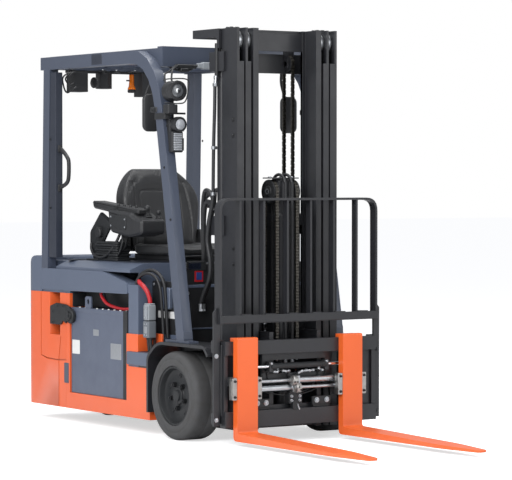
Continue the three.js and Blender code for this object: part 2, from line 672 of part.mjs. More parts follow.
// The middle mast: rails, ties behind them, and the top beam that the two lift rods push.
function middleMast() {
  const tieRear = tie.behind + tie.thick;
  const tieHalf = cylinder.x - cylinder.radius - clear;
  const { low, arm, outer, rear, thick } = topBeam;
  const lowTieLow = 490;
  const crownLow = mast.top - 100;
  let shape = join(
    box(-tieHalf, tieHalf, tie.behind, tieRear, lowTieLow, lowTieLow + 100),
    box(-outer, outer, tie.behind, tieRear, crownLow, mast.top),
    box(-outer, outer, rear - thick, rear, low, mast.top),
  );
  for (const [, side] of sides) {
    const bridge = (z) => sideBox(side, middleRail.inner, middleRail.outer,
      mast.rear - 1, tie.behind + 1, z, z + 100);
    shape = join(shape, rail(side, middleRail, innerRail), bridge(lowTieLow), bridge(crownLow),
      sideBox(side, outer - arm, outer, tie.behind, rear, low, mast.top),
      sideBox(side, 240, outer, tie.behind, cylinder.y + 40, low, mast.top),
      barUp(side * cylinder.x, cylinder.y, 170, low + 4, cylinder.rod, 28));
  }
  return shape;
}

// The inner mast: rails, ties inside the rear flanges, and the seat of the free-lift cylinder.
function innerMast() {
  const half = innerRail.outer;
  const footLow = 65;
  const inner = innerRail.inner + 2;
  let shape = box(-inner, inner, freeLift.y - 48, mast.rear - 1, footLow, freeLift.low);
  const ties = [[footLow, 170], [540, 640], [1100, 1160], [mast.top - 108, mast.top - 18]];
  for (const [low, high] of ties) {
    shape = join(shape, box(-half, half, mast.rear - 13, mast.rear - 1, low, high));
  }
  for (const [, side] of sides) {
    const anchorLug = sideBox(side, sheave.x - chain.lug, sheave.x + chain.lug,
      freeLift.y + sheave.pitch - 8, mast.rear - 2, chain.mastAnchor - 30, chain.mastAnchor);
    shape = join(shape, rail(side, innerRail), anchorLug);
  }
  return shape;
}

function freeLiftCylinder() {
  const { y, radius, bore, low, top } = freeLift;
  const sleeve = barUp(0, y, low + gap, top, radius, 36);
  return cut(sleeve, barUp(0, y, low + 30, top + 1, bore, 32));
}

// The crosshead on the free-lift rod, with a chain sheave on each side.
function crosshead() {
  const { x, z, radius, half } = sheave;
  const { y } = freeLift;
  const block = 38;
  const axleHalf = x + half + 6;
  let shape = join(
    barUp(0, y, freeLift.rodLow, z, freeLift.rod, 32),
    box(-40, 40, y - block, y + block, z - 50, z + 56),
    rod([-axleHalf, y, z], [axleHalf, y, z], 14, 20),
    box(-86, 86, y - 40, y + 40, z + 66, z + 72),
    box(-40, 40, y - 20, y + 20, z + 50, z + 67),
  );
  const flange = 2.5;
  for (const [, side] of sides) {
    const disc = (inset, size) => barAcross(side, x - half + inset, x + half - inset, y, z, size, 24);
    const groove = cut(disc(flange, radius + 1), disc(0, sheave.pitch - 5.5));
    shape = join(shape, cut(disc(0, radius), groove));
  }
  return shape;
}

// Both chains' strands on one side of the sheaves, with the bar that anchors their lower ends.
function chainStrands(y, anchor) {
  const [front, rear] = [y - chain.thick / 2, y + chain.thick / 2];
  const strand = (side) => sideBox(side, sheave.x - chain.half, sheave.x + chain.half, front, rear,
    anchor + gap, sheave.z - 4);
  const bar = box(-sheave.x - chain.lug, sheave.x + chain.lug, front, rear, anchor + gap, anchor + 12);
  return join(strand(-1), strand(1), bar);
}

// ---------------------------------------------------------------- carriage and forks

// The carriage: side plates with rollers in the inner rails, and the plate that carries the
// side shifter.
function carriageShape() {
  const { front, rear, half, low, top } = carriagePlate;
  const plate = box(-half, half, front, rear, low, top);
  const window = box(-170, 170, front - 1, rear + 1, 351, 419);
  const lowPlate = box(-half, half, front, rear, lowerBar.low + 22, lowerBar.top + 20);
  const inner = carriage.plateX;
  const outer = inner + carriage.plateThick;
  const rollerReach = innerRail.outer - mast.web - gap;
  const middleY = (mast.front + mast.rear) / 2;
  let shape = join(cut(plate, window), lowPlate, box(-inner - 1, inner + 1, rear - 1, rear + 20, 440, 500));
  for (const [, side] of sides) {
    shape = join(shape, sideBox(side, inner, outer, rear - 1, carriage.rear, carriage.low, carriage.high));
    for (const z of [carriage.low + 60, carriage.high - 56]) {
      shape = join(shape, barAcross(side, outer - 2, rollerReach, middleY, z, roller.radius, 20));
    }
    shape = join(shape, sideBox(side, sheave.x - chain.lug, sheave.x + chain.lug, rear - 1,
      freeLift.y - sheave.pitch + 10, chain.carriageAnchor - 25, chain.carriageAnchor));
  }
  return shape;
}

// The side shifter: the two fork bars with their end plates, hooked over the carriage.
function sideShifter() {
  const { front, rear, half, plate } = shifter;
  const lugFace = backrestPost.front + backrestPost.thick + gap;
  const bar = ({ low, top }) => box(-half, half, front, rear, low, top);
  const hook = box(-200, 200, rear - 1, carriagePlate.rear - 2, carriagePlate.top + gap, upperBar.hook);
  const pad = (x) => box(x - 30, x + 30, rear - 1, carriagePlate.front - gap,
    lowerBar.low + 10, lowerBar.top - 10);
  let shape = join(bar({ low: upperBar.low, top: upperBar.hook }), hook, bar(lowerBar), pad(-150), pad(150));
  for (const [, side] of sides) {
    const lug = (low, high) => sideBox(side, half - plate, backrestPost.outer,
      lugFace, lugFace + 14, low, high);
    shape = join(shape, lug(470, 530), lug(110, 165),
      sideBox(side, half - plate, half, front + 12, rear + 11, lowerBar.low, upperBar.top));
  }
  return shape;
}

// The positioner: a block in the middle and one barrel to each side of it.
function positionerCylinders() {
  const { y, upper, lower, barrel, block, barrelEnd, rod: rodRadius } = positioner;
  const middle = shifter.shift;
  const bore = rodRadius + 0.5;
  const tube = (from, to, z, radius, segments) => rod([from, y, z], [to, y, z], radius, segments);
  const manifold = box(middle - block / 2, middle + block / 2,
    y - 22, carriagePlate.front - gap - 4, lower - 22, upper + 22);
  const stem = box(middle - 14, middle + 14, y - 8, y + 12, lowerBar.top + gap, lower - 21);
  const otherEnd = 2 * middle - barrelEnd;
  return cut(
    join(manifold, stem, tube(middle, barrelEnd, upper, barrel, 28),
      tube(middle, otherEnd, lower, barrel, 28)),
    tube(middle - block, barrelEnd - 6, upper, bore, 24),
    tube(middle + block, otherEnd + 6, lower, bore, 24),
  );
}

function forkShape(side) {
  const centre = shifter.shift + side * (fork.apart / 2 + fork.width / 2);
  const back = shifter.front - gap;
  const front = back - fork.thick;
  const tip = front - fork.reach;
  const profile = outline([[back, fork.low, 26], [back, fork.top, 4], [front, fork.top, 10],
    [front, fork.low + fork.thick, 14], [tip, fork.low + fork.tip, 4], [tip, fork.low, 4]]);
  const half = fork.width / 2;
  const taper = { from: tip + 260, half: half - 34 }; // towards the tip
  const plan = outline([[centre - half, back + 60], [centre - half, taper.from, 60],
    [centre - taper.half, tip, 26], [centre + taper.half, tip, 26], [centre + half, taper.from, 60],
    [centre + half, back + 60]]);
  const bar = prism(profile, 'x', centre - half, centre + half)
    .intersect(prism(plan, 'z', fork.low - 1, fork.top + 1));
  const hook = box(centre - half + 6, centre + half - 6, back - 2, shifter.rear - 4,
    upperBar.hook + gap, fork.top - 2);
  const heel = box(centre - half + 14, centre + half - 14, back - 2, back + 20, 66, lowerBar.low - gap);
  return join(bar, hook, heel);
}

// The clamp that pushes one fork, and the rod of its cylinder.
function forkClamp(side) {
  const centre = shifter.shift + side * (fork.apart / 2 + fork.width / 2);
  const z = side < 0 ? positioner.upper : positioner.lower;
  const low = side < 0 ? 300 : 232;
  const high = side < 0 ? 345 : 292;
  const half = fork.width / 2 + gap;
  const frontFace = shifter.front - gap - 32;
  const inner = shifter.shift - side * 30;
  const bar = rod([centre, positioner.y, z], [inner, positioner.y, z], positioner.rod, 24);
  const back = box(centre - half - 12, centre + half + 12, shifter.front, positioner.y + 14, low, high);
  const ear = (x) => box(x - 6, x + 6, frontFace, shifter.front + 1, low, high);
  return join(back, ear(centre - half - 6), ear(centre + half + 6), bar);
}

// The load backrest: a bent flat bar with a lower rail, six uprights and two bolted posts.
function backrestShape() {
  const { half, top, low, front, depth, bar, corner } = backrest;
  const rear = front + depth;
  const frame = (inset) => prism(outline([[-half + inset, low + inset], [half - inset, low + inset],
    [half - inset, top - inset, corner - inset], [-half + inset, top - inset, corner - inset]]),
  'y', front - (inset ? 1 : 0), rear + (inset ? 1 : 0));
  let shape = cut(frame(0), frame(bar));
  for (const x of uprights) {
    shape = join(shape, box(x - 6, x + 6, front + 6, rear - 6, low + 2, top - 2));
  }
  for (const [, side] of sides) {
    const { outer, inner, low: foot, top: tip, thick, front: face } = backrestPost;
    const leaf = outline([[side * inner, foot], [side * outer, foot], [side * outer, tip - 24],
      [side * (inner + outer) / 2, tip], [side * inner, tip - 24]]);
    shape = join(shape, prism(leaf, 'y', face, face + thick));
  }
  return shape;
}

// ---------------------------------------------------------------- tilt cylinders

const tiltFrom = new THREE.Vector3(0, tiltPin.frameY, tiltPin.frameZ);
const tiltTo = new THREE.Vector3(0, tiltPin.mastY, tiltPin.mastZ);
const tiltAlong = tiltTo.clone().sub(tiltFrom).normalize();

function tiltPoint(side, distance) {
  const point = tiltFrom.clone().addScaledVector(tiltAlong, distance);
  return [side * tiltPin.x, point.y, point.z];
}

function tiltBarrelShape(side) {
  const { radius, length, rod: rodRadius, eyeHalf } = tiltBarrel;
  const { x, frameY, frameZ } = tiltPin;
  const along = (from, to, size, segments) => rod(tiltPoint(side, from), tiltPoint(side, to), size, segments);
  const eye = barAcross(side, x - eyeHalf, x + eyeHalf, frameY, frameZ, tiltBarrel.eye, 28);
  const pin = barAcross(side, x, x + eyeHalf + 2 - gap, frameY, frameZ, tiltPin.radius, 20);
  return cut(
    join(eye, pin, along(15, 60, 10, 16), along(52, length, radius, 24)),
    along(80, length + 2, rodRadius + gap, 20),
  );
}

function tiltRodShape(side) {
  const { x, mastY, mastZ } = tiltPin;
  const { eyeHalf, play } = tiltBarrel;
  const length = tiltTo.distanceTo(tiltFrom);
  const bar = rod(tiltPoint(side, 120), tiltPoint(side, length - 14), tiltBarrel.rod, 20);
  const eye = barAcross(side, x - eyeHalf, x + eyeHalf, mastY, mastZ, tiltBarrel.eye, 28);
  const hole = barAcross(side, x - eyeHalf - 2, x + eyeHalf + 2, mastY, mastZ, tiltPin.radius + play, 20);
  return cut(join(bar, eye), hole);
}

// ---------------------------------------------------------------- the pieces

addPiece('frame_body', frameBody(), orangePaint);
addPiece('counterweight', counterweight(), orangePaint);
addPiece('rear_cover', rearCoverShape(), greyPaint);
addPiece('battery', batteryCase(), greyPaint);
addPiece('floor_plate', floorPlate(), castDark);
addPiece('dash_panel', dashPanel(), plastic);
addPiece('steering_column', steeringColumn(), plastic);
addPiece('drive_axle', driveAxle(), castDark);
addPiece('battery_connector', batteryConnector(), connectorGrey);
addPiece('guard_roof', guardRoof(), greyPaint);
addPiece('roof_module', roofModule(), plastic);
addPiece('beacon', beaconShape(), amber);
addPiece('grab_handle', grabHandle(), plastic);
addPiece('hood', hood(), greyPaint);
addPiece('seat_base', seatBase(), plastic);
addPiece('seat_cushion', seatCushion(), vinyl);
addPiece('seat_back', seatBack(), vinyl);
addPiece('armrest', armrest(), plastic);
addPiece('steering_wheel', steeringWheel(), plastic);
addPiece('steer_yoke', steerYoke(), castDark);
addPiece('steer_hub', steerHub(), castDark);
addPiece('outer_mast', outerMast(), mastPaint);
addPiece('middle_mast', middleMast(), mastPaint);
addPiece('inner_mast', innerMast(), mastPaint);
addPiece('free_lift_cylinder', freeLiftCylinder(), mastPaint);
addPiece('crosshead', crosshead(), steel);
addPiece('mast_chains', chainStrands(freeLift.y + sheave.pitch, chain.mastAnchor), steel);
addPiece('carriage_chains', chainStrands(freeLift.y - sheave.pitch, chain.carriageAnchor), steel);
addPiece('carriage', carriageShape(), mastPaint);
addPiece('side_shifter', sideShifter(), mastPaint);
addPiece('positioner_cylinders', positionerCylinders(), steel);
addPiece('backrest', backrestShape(), mastPaint);

for (const [name, side] of sides) {
  const steerX = side * (steerTyre.apart + steerTyre.width) / 2;
  const driveX = side * (driveTyre.outerFace - driveTyre.width / 2);
  addPiece(`side_beam_${name}`, sideBeam(side), greyPaint);
  addPiece(`battery_stopper_${name}`, batteryStopper(side), castDark);
  addPiece(`fender_${name}`, fenderShape(side), castDark);
  addPiece(`guard_side_${name}`, guardSide(side), greyPaint);
  addPiece(`front_lamps_${name}`, frontLamps(side), lampGlass);
  addPiece(`mirror_${name}`, mirror(side), plastic);
  addPiece(`drive_tyre_${name}`, tyre(driveTyre, driveX, 0), rubber);
  addPiece(`drive_rim_${name}`, driveRim(side), castDark);
  addPiece(`steer_tyre_${name}`, tyre(steerTyre, steerX, wheelbase), rubber);
  addPiece(`lift_cylinder_${name}`, liftCylinder(side), mastPaint);
  addPiece(`fork_${name}`, forkShape(side), orangePaint);
  addPiece(`fork_clamp_${name}`, forkClamp(side), steel);
  addPiece(`tilt_barrel_${name}`, tiltBarrelShape(side), mastPaint);
  addPiece(`tilt_rod_${name}`, tiltRodShape(side), steel);
}

const forkTip = shifter.front - gap - fork.thick - fork.reach;
truck.position.y = -(forkTip + body.rear) / 2;

export default truck;
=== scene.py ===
# A three-wheel electric forklift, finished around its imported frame.
# Shapes are written in millimetres from the middle of the drive axle on the floor:
# x to the truck's left, y to its rear, z up. makePiece turns them into the frame's metres.
import json
import math

import bmesh
import bpy
import numpy as np
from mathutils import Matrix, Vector

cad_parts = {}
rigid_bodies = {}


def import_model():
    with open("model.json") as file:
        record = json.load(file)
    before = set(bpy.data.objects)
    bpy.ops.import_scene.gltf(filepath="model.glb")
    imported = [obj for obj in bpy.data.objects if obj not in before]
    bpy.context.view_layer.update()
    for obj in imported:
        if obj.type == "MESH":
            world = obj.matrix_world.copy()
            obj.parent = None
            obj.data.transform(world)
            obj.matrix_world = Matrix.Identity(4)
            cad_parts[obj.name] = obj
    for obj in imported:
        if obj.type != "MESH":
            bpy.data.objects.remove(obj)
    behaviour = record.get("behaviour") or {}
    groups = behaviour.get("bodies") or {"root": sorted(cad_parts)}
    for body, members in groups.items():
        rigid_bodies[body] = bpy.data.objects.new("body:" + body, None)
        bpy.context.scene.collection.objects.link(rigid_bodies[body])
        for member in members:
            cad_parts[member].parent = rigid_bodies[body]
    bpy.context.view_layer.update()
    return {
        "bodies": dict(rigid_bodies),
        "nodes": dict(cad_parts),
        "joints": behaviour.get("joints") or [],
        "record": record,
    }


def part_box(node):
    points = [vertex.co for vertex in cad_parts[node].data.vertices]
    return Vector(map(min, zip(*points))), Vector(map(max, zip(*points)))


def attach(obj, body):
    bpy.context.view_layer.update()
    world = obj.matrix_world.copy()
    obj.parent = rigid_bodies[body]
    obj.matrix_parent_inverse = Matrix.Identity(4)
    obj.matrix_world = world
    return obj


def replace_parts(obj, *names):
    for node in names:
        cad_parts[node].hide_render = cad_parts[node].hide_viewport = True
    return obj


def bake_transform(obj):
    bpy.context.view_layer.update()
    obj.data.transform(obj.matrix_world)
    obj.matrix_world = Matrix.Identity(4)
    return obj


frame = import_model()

axleLow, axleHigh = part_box("drive_axle")
axleY = (axleLow.y + axleHigh.y) / 2  # metres, the drive axle's place along the truck
sides = {"right": -1, "left": 1}
scene = bpy.context.scene


def toFrame(points):
    # millimetres from the drive axle to the frame's metres
    return np.asarray(points, float) / 1000 + np.array([0, axleY, 0])


cameraSetup = {
    "place": (-7296, -10972, 1331),  # millimetres from the drive axle
    "turn": 33.56,  # degrees from the truck's rearward axis towards its left
    "down": 1.35,
    "lens": 177.3,
    "sensor": 36.0,
}


def makeCamera(setup):
    data = bpy.data.cameras.new("studioCamera")
    data.lens = setup["lens"]
    data.sensor_width = setup["sensor"]
    data.clip_end = 200
    camera = bpy.data.objects.new("studioCamera", data)
    turn, down = math.radians(setup["turn"]), math.radians(setup["down"])
    look = Vector((math.sin(turn) * math.cos(down), math.cos(turn) * math.cos(down), -math.sin(down)))
    camera.rotation_mode = "QUATERNION"
    camera.rotation_quaternion = look.to_track_quat("-Z", "Y")
    camera.location = toFrame(setup["place"])
    scene.collection.objects.link(camera)
    scene.camera = camera


def linearColour(hexValue):
    # sRGB hex to linear light
    channels = [int(hexValue[i:i + 2], 16) / 255 for i in (1, 3, 5)]
    return [c / 12.92 if c <= 0.04045 else ((c + 0.055) / 1.055) ** 2.4 for c in channels] + [1.0]


def addNode(tree, kind, settings=None, links=None):
    # one node, its own settings, its sockets' values and what feeds them
    node = tree.nodes.new("ShaderNode" + kind)
    for key, value in (settings or {}).items():
        if isinstance(key, int) or key in node.inputs:
            node.inputs[key].default_value = value
        else:
            setattr(node, key, value)
    for key, source in (links or {}).items():
        tree.links.new(source, node.inputs[key])
    return node


makeCamera(cameraSetup)
scene.view_settings.view_transform = "Standard"

studio = {
    "worldColour": "#f4f6fa",
    "worldStrength": 0.50,
    "floorColour": "#e9e9ea",
    "floorLift": 0.60,  # what the floor adds for the eye only, so that it stays pale
    "floorHalf": 60.0,
    "keySize": 5.0,
    "keyPower": 520,
    "fillPower": 110,
    "topPower": 330,
}


def areaLight(name, place, target, size, power):
    data = bpy.data.lights.new(name, "AREA")
    data.shape = "DISK"
    data.size = size
    data.energy = power
    lamp = bpy.data.objects.new(name, data)
    lamp.location = place
    lamp.rotation_mode = "QUATERNION"
    lamp.rotation_quaternion = (Vector(target) - Vector(place)).to_track_quat("-Z", "Y")
    scene.collection.objects.link(lamp)


def makeStudio(s):
    world = bpy.data.worlds.new("paleRoom")
    scene.world = world
    world.use_nodes = True
    tree = world.node_tree
    tree.nodes.clear()
    rays = addNode(tree, "LightPath")
    room = addNode(tree, "Background", {"Color": linearColour(s["worldColour"]),
                                        "Strength": s["worldStrength"]})
    seen = addNode(tree, "Background", {"Color": (1, 1, 1, 1), "Strength": 1.0})
    mixed = addNode(tree, "MixShader", {},
                    {0: rays.outputs["Is Camera Ray"], 1: room.outputs[0], 2: seen.outputs[0]})
    addNode(tree, "OutputWorld", {}, {"Surface": mixed.outputs[0]})
    half = s["floorHalf"]
    corners = [(-half, -half, 0), (half, -half, 0), (half, half, 0), (-half, half, 0)]
    mesh = bpy.data.meshes.new("studioFloor")
    mesh.from_pydata(corners, [], [(0, 1, 2, 3)])
    floor = bpy.data.objects.new("studioFloor", mesh)
    scene.collection.objects.link(floor)
    paper = bpy.data.materials.new("paleSeamlessPaper")  # matt paper, slightly lifted for the eye
    paper.use_nodes = True
    tree = paper.node_tree
    tree.nodes.clear()
    rays = addNode(tree, "LightPath")
    matt = addNode(tree, "BsdfDiffuse", {"Color": linearColour(s["floorColour"])})
    lift = addNode(tree, "Math", {"operation": "MULTIPLY", 1: s["floorLift"]},
                   {0: rays.outputs["Is Camera Ray"]})
    glow = addNode(tree, "Emission", {"Color": (1, 1, 1, 1)}, {"Strength": lift.outputs[0]})
    both = addNode(tree, "AddShader", {}, {0: matt.outputs[0], 1: glow.outputs[0]})
    addNode(tree, "OutputMaterial", {}, {"Surface": both.outputs[0]})
    floor.data.materials.append(paper)
    areaLight("keyLight", (-6.0, -3.5, 4.6), (0, 0, 0.8), s["keySize"], s["keyPower"])
    areaLight("fillLight", (3.0, -7.0, 3.2), (0, 0, 0.9), s["keySize"], s["fillPower"])
    areaLight("topLight", (0.0, 0.5, 6.0), (0, 0, 1.0), s["keySize"], s["topPower"])


makeStudio(studio)
print("camera, floor and light are set")


# Every finish: its colour, a second colour that drifts through it in patches, how far the
# roughness ranges, and up to two grains, each a pattern with a real size and height in millimetres.
finishes = {
    # cast iron and plate in two-pack enamel: strong even colour, soft gloss, faint orange peel
    "orangeEnamel": {"colour": "#e46430", "drift": "#dc5a28", "bounce": "#9a8078", "patch": 260,
                     "rough": (0.30, 0.42), "coat": 0.25,
                     "grains": [("noise", 5, 0.10), ("noise", 60, 0.35)]},
    # forged fork steel, sprayed: a little deeper and rougher than the body
    "forkEnamel": {"colour": "#e8662b", "drift": "#de5d24", "bounce": "#9a8078", "patch": 180,
                   "rough": (0.32, 0.46), "coat": 0.2,
                   "grains": [("noise", 4, 0.14)]},
    # blue-grey powder coat over pressed steel: even, satin, faint texture
    "greyPowderCoat": {"colour": "#565f71", "drift": "#505a6c", "patch": 300, "rough": (0.34, 0.46),
                       "coat": 0.15,
                       "grains": [("noise", 3, 0.09)]},
    # the body's blue grey made darker: on the guard it is painted shade, for tubes that read darker than
    # the body; the counterweight's inserts use it as well
    "darkerBodyGrey": {"colour": "#454c5b", "drift": "#404756", "patch": 300, "rough": (0.32, 0.44),
                  "coat": 0.15,
                  "grains": [("noise", 3, 0.09)]},
    # battery case: the same blue grey, brushed on over bare sheet, with handling marks
    "batteryCoat": {"colour": "#565e70", "drift": "#4f5768", "patch": 140, "rough": (0.36, 0.56),
                    "coat": 0.1,
                    "grains": [("noise", 4, 0.12)]},
    # black electro-coated rolled section: charcoal, satin, slightly streaky
    "mastCoat": {"colour": "#27282c", "drift": "#202124", "patch": 120, "rough": (0.32, 0.50), "coat": 0.1,
                 "grains": [("noise", 3, 0.10), ("noise", 40, 0.2)]},
    # dark iron casting, painted black, rough sand-cast skin
    "castBlack": {"colour": "#1e2023", "drift": "#191b1d", "patch": 70, "rough": (0.45, 0.62), "coat": 0.0,
                  "grains": [("noise", 2.5, 0.25)]},
    # zinc-plated steel: pale, slightly blotchy metal
    "zincPlate": {"colour": "#c3c6ca", "drift": "#a9adb1", "patch": 24, "rough": (0.26, 0.44),
                  "metallic": 1.0,
                  "grains": [("noise", 2, 0.05)]},
    # black-oxided wheel nuts and studs
    "zincBlack": {"colour": "#3a3b3d", "drift": "#2c2d2f", "patch": 14, "rough": (0.30, 0.46),
                  "metallic": 0.8,
                  "grains": []},
    # black-oxide machine bolts
    "blackBolt": {"colour": "#4a4b4d", "drift": "#37383a", "patch": 10, "rough": (0.32, 0.5),
                  "metallic": 0.9,
                  "grains": []},
    # sand-cast aluminium, linished on its faces
    "castAlloy": {"colour": "#b9b8b6", "drift": "#96938f", "patch": 16, "rough": (0.34, 0.52),
                  "metallic": 1.0,
                  "grains": [("noise", 2, 0.12)]},
    # nylon bolt caps, off-white
    "nylonCap": {"colour": "#e3e3e0", "drift": "#d0d0cc", "patch": 12, "rough": (0.38, 0.5), "grains": []},
    # brushed aluminium foil plates with nothing on them
    "foilLabel": {"colour": "#b9bcc0", "drift": "#a3a7ac", "patch": 18, "rough": (0.28, 0.42),
                  "metallic": 0.85,
                  "grains": [("noise", 1.5, 0.03)]},
    # the plug's lower half, a darker grey
    "connectorGrey": {"colour": "#6d7278", "drift": "#666b71", "patch": 40, "rough": (0.42, 0.55),
                      "grains": [("noise", 1.5, 0.08)]},
    # belt buckle button
    "buckleRed": {"colour": "#d8402e", "drift": "#cc3a2a", "patch": 20, "rough": (0.3, 0.42), "grains": []},
    # lamp lens: clear polycarbonate over a bright reflector
    "lampLens": {"colour": "#aeb1b6", "drift": "#8f9399", "patch": 14, "rough": (0.06, 0.16), "coat": 0.8,
                 "grains": [("voronoi", 5, 0.25)]},
    # headlamp glass: a dark grey with paler patches, painted shade for the dark inside of the lamp seen
    # through it
    "headGlassShaded": {"colour": "#3b3e42", "drift": "#6a6d71", "patch": 9, "rough": (0.05, 0.12), "coat": 1.0,
                  "grains": [("voronoi", 7, 0.3)]},
    "lampMirror": {"colour": "#e2e4e6", "drift": "#cfd2d5", "patch": 20, "rough": (0.06, 0.12),
                   "metallic": 1.0,
                   "grains": []},
    # silvered glass
    "mirrorGlass": {"colour": "#c4c9cf", "drift": "#bcc1c7", "patch": 60, "rough": (0.03, 0.06),
                    "metallic": 1.0,
                    "grains": []},
    # unlit display window
    "darkGlass": {"colour": "#1a1f2c", "drift": "#161a25", "patch": 40, "rough": (0.08, 0.14), "coat": 0.5,
                  "grains": []},
    "bluePlate": {"colour": "#2a3f7d", "drift": "#263a74", "patch": 20, "rough": (0.35, 0.45),
                  "grains": []},
    # nylon plug lock
    "yellowLock": {"colour": "#e7c21d", "drift": "#dcb81a", "patch": 14, "rough": (0.36, 0.48),
                   "grains": []},
    # a dark blue grey: bands round the guard's side tubes, a plate over the hood's top, and painted shade
    # in the right rear pillar's channel
    "darkBlueGrey": {"colour": "#2a2f3b", "drift": "#262b36", "patch": 90, "rough": (0.42, 0.55),
                   "grains": [("noise", 3, 0.1)]},
    # hard chrome on a piston rod: mirror bright
    "hardChrome": {"colour": "#dcdee1", "drift": "#d2d5d8", "patch": 90, "rough": (0.08, 0.16),
                   "metallic": 1.0,
                   "grains": []},
    # oiled roller-chain steel: dark, glinting plates
    "oiledSteel": {"colour": "#6f6c66", "drift": "#4a4844", "patch": 12, "rough": (0.28, 0.48),
                   "metallic": 1.0,
                   "grains": []},
    # press-on tyre rubber: grey with dust on the walls, fine moulding texture
    "tyreRubber": {"colour": "#46474a", "drift": "#403f3d", "patch": 45, "rough": (0.78, 0.92),
                   "grains": [("noise", 3, 0.35), ("noise", 26, 0.5)]},
    # hydraulic hose cover: black synthetic rubber with a wrapped cloth mark
    "hoseRubber": {"colour": "#1c1d1f", "drift": "#232427", "patch": 30, "rough": (0.42, 0.6),
                   "grains": [("noise", 1.6, 0.12)]},
    # ABS mouldings with a fine spark-eroded texture
    "mouldedPlastic": {"colour": "#232427", "drift": "#1e1f21", "patch": 80, "rough": (0.46, 0.62),
                       "grains": [("voronoi", 1.2, 0.08)]},
    # expanded vinyl on foam: black, calendered hide grain
    "seatVinyl": {"colour": "#1d1e20", "drift": "#242527", "patch": 60, "rough": (0.40, 0.56),
                  "sheen": 0.05,
                  "grains": [("voronoi", 2.6, 0.30), ("noise", 18, 0.3)]},
    # polycarbonate plug housing, mid grey, moulded
    "connectorPlastic": {"colour": "#8e9398", "drift": "#868b90", "patch": 40, "rough": (0.42, 0.55),
                         "grains": [("noise", 1.5, 0.08)]},
    # amber polycarbonate lens
    "amberLens": {"colour": "#f07c12", "drift": "#e87410", "patch": 30, "rough": (0.12, 0.2), "grains": []},
    # battery cable sheath: red neoprene
    "redSheath": {"colour": "#b41d26", "drift": "#a51a22", "patch": 30, "rough": (0.38, 0.5),
                  "grains": [("noise", 1.6, 0.08)]},
    # blank vinyl labels: white, slightly scuffed
    "blankLabel": {"colour": "#dfe0df", "drift": "#d3d4d3", "patch": 30, "rough": (0.34, 0.45),
                   "grains": []},
}


def makeFinish(name):
    # a patch noise drives colour and roughness together; the grains add up in a chain of bumps
    f = finishes[name]
    material = bpy.data.materials.new(name)
    material.use_nodes = True
    tree = material.node_tree
    tree.nodes.clear()
    place = addNode(tree, "TexCoord").outputs["Object"]
    patch = addNode(tree, "TexNoise", {"Scale": 1000 / f["patch"], "Detail": 4.0, "Roughness": 0.6},
                    {"Vector": place})
    colour = addNode(tree, "Mix", {"data_type": "RGBA"}, {"Factor": patch.outputs["Fac"]})
    colour.inputs[6].default_value = linearColour(f["colour"])
    colour.inputs[7].default_value = linearColour(f["drift"])
    rough = addNode(tree, "MapRange", {"From Min": 0.3, "From Max": 0.7, "To Min": f["rough"][0],
                                       "To Max": f["rough"][1]},
                    {"Value": patch.outputs["Fac"]})
    seen = colour.outputs[2]
    if "bounce" in f:
        # the floor and the neighbours take less of a strong colour than the eye does
        way = addNode(tree, "LightPath")
        toned = addNode(tree, "Mix", {"data_type": "RGBA"}, {"Factor": way.outputs["Is Diffuse Ray"]})
        tree.links.new(seen, toned.inputs[6])
        toned.inputs[7].default_value = linearColour(f["bounce"])
        seen = toned.outputs[2]
    links = {"Base Color": seen, "Roughness": rough.outputs["Result"]}
    normal = None
    for kind, size, height in f["grains"]:
        if kind == "noise":
            grain = addNode(tree, "TexNoise", {"Scale": 1000 / size, "Detail": 2.0}, {"Vector": place})
        else:
            grain = addNode(tree, "TexVoronoi", {"Scale": 1000 / size}, {"Vector": place})
        bump = addNode(tree, "Bump", {"Strength": 0.6, "Distance": height / 1000},
                       {"Height": grain.outputs[0]})
        if normal:
            tree.links.new(normal, bump.inputs["Normal"])
        normal = bump.outputs["Normal"]
    if normal:
        links["Normal"] = normal
    shader = addNode(tree, "BsdfPrincipled", {
        "Metallic": f.get("metallic", 0.0), "Coat Weight": f.get("coat", 0.0), "Coat Roughness": 0.2,
        "Sheen Weight": f.get("sheen", 0.0)}, links)
    addNode(tree, "OutputMaterial", {}, {"Surface": shader.outputs[0]})
    return material


finish = {name: makeFinish(name) for name in finishes}
print("finishes are made:", len(finish))

# A shape is (points, faces): an array of points in millimetres and a list of arrays of corners.


def joined(shapes):
    points, faces, start = [], [], 0
    for shapePoints, shapeFaces in shapes:
        points.append(shapePoints)
        faces += [group + start for group in shapeFaces]
        start += len(shapePoints)
    return np.vstack(points), faces


def copies(shape, offsets):
    # one shape at many places, worked out as one array
    points, faces = shape
    offsets = np.asarray(offsets, float)
    allPoints = (points[None] + offsets[:, None]).reshape(-1, 3)
    starts = np.arange(len(offsets)) * len(points)
    return allPoints, [(group[None] + starts[:, None, None]).reshape(-1, group.shape[1]) for group in faces]


def gridFaces(rows, columns, closedRows, closedColumns):
    # four-cornered faces between neighbours of a grid of points
    r = np.arange(rows if closedRows else rows - 1)
    c = np.arange(columns if closedColumns else columns - 1)
    a, b = np.meshgrid(r, c, indexing="ij")
    nextA, nextB = (a + 1) % rows, (b + 1) % columns
    corners = [a * columns + b, a * columns + nextB, nextA * columns + nextB, nextA * columns + b]
    return np.stack(corners, -1).reshape(-1, 4)


def across(axis):
    # two directions at right angles to an axis and to each other
    axis = np.asarray(axis, float) / np.linalg.norm(axis)
    helper = np.eye(3)[np.argmin(np.abs(axis))]
    first = np.cross(axis, helper)
    first /= np.linalg.norm(first)
    return axis, first, np.cross(axis, first)


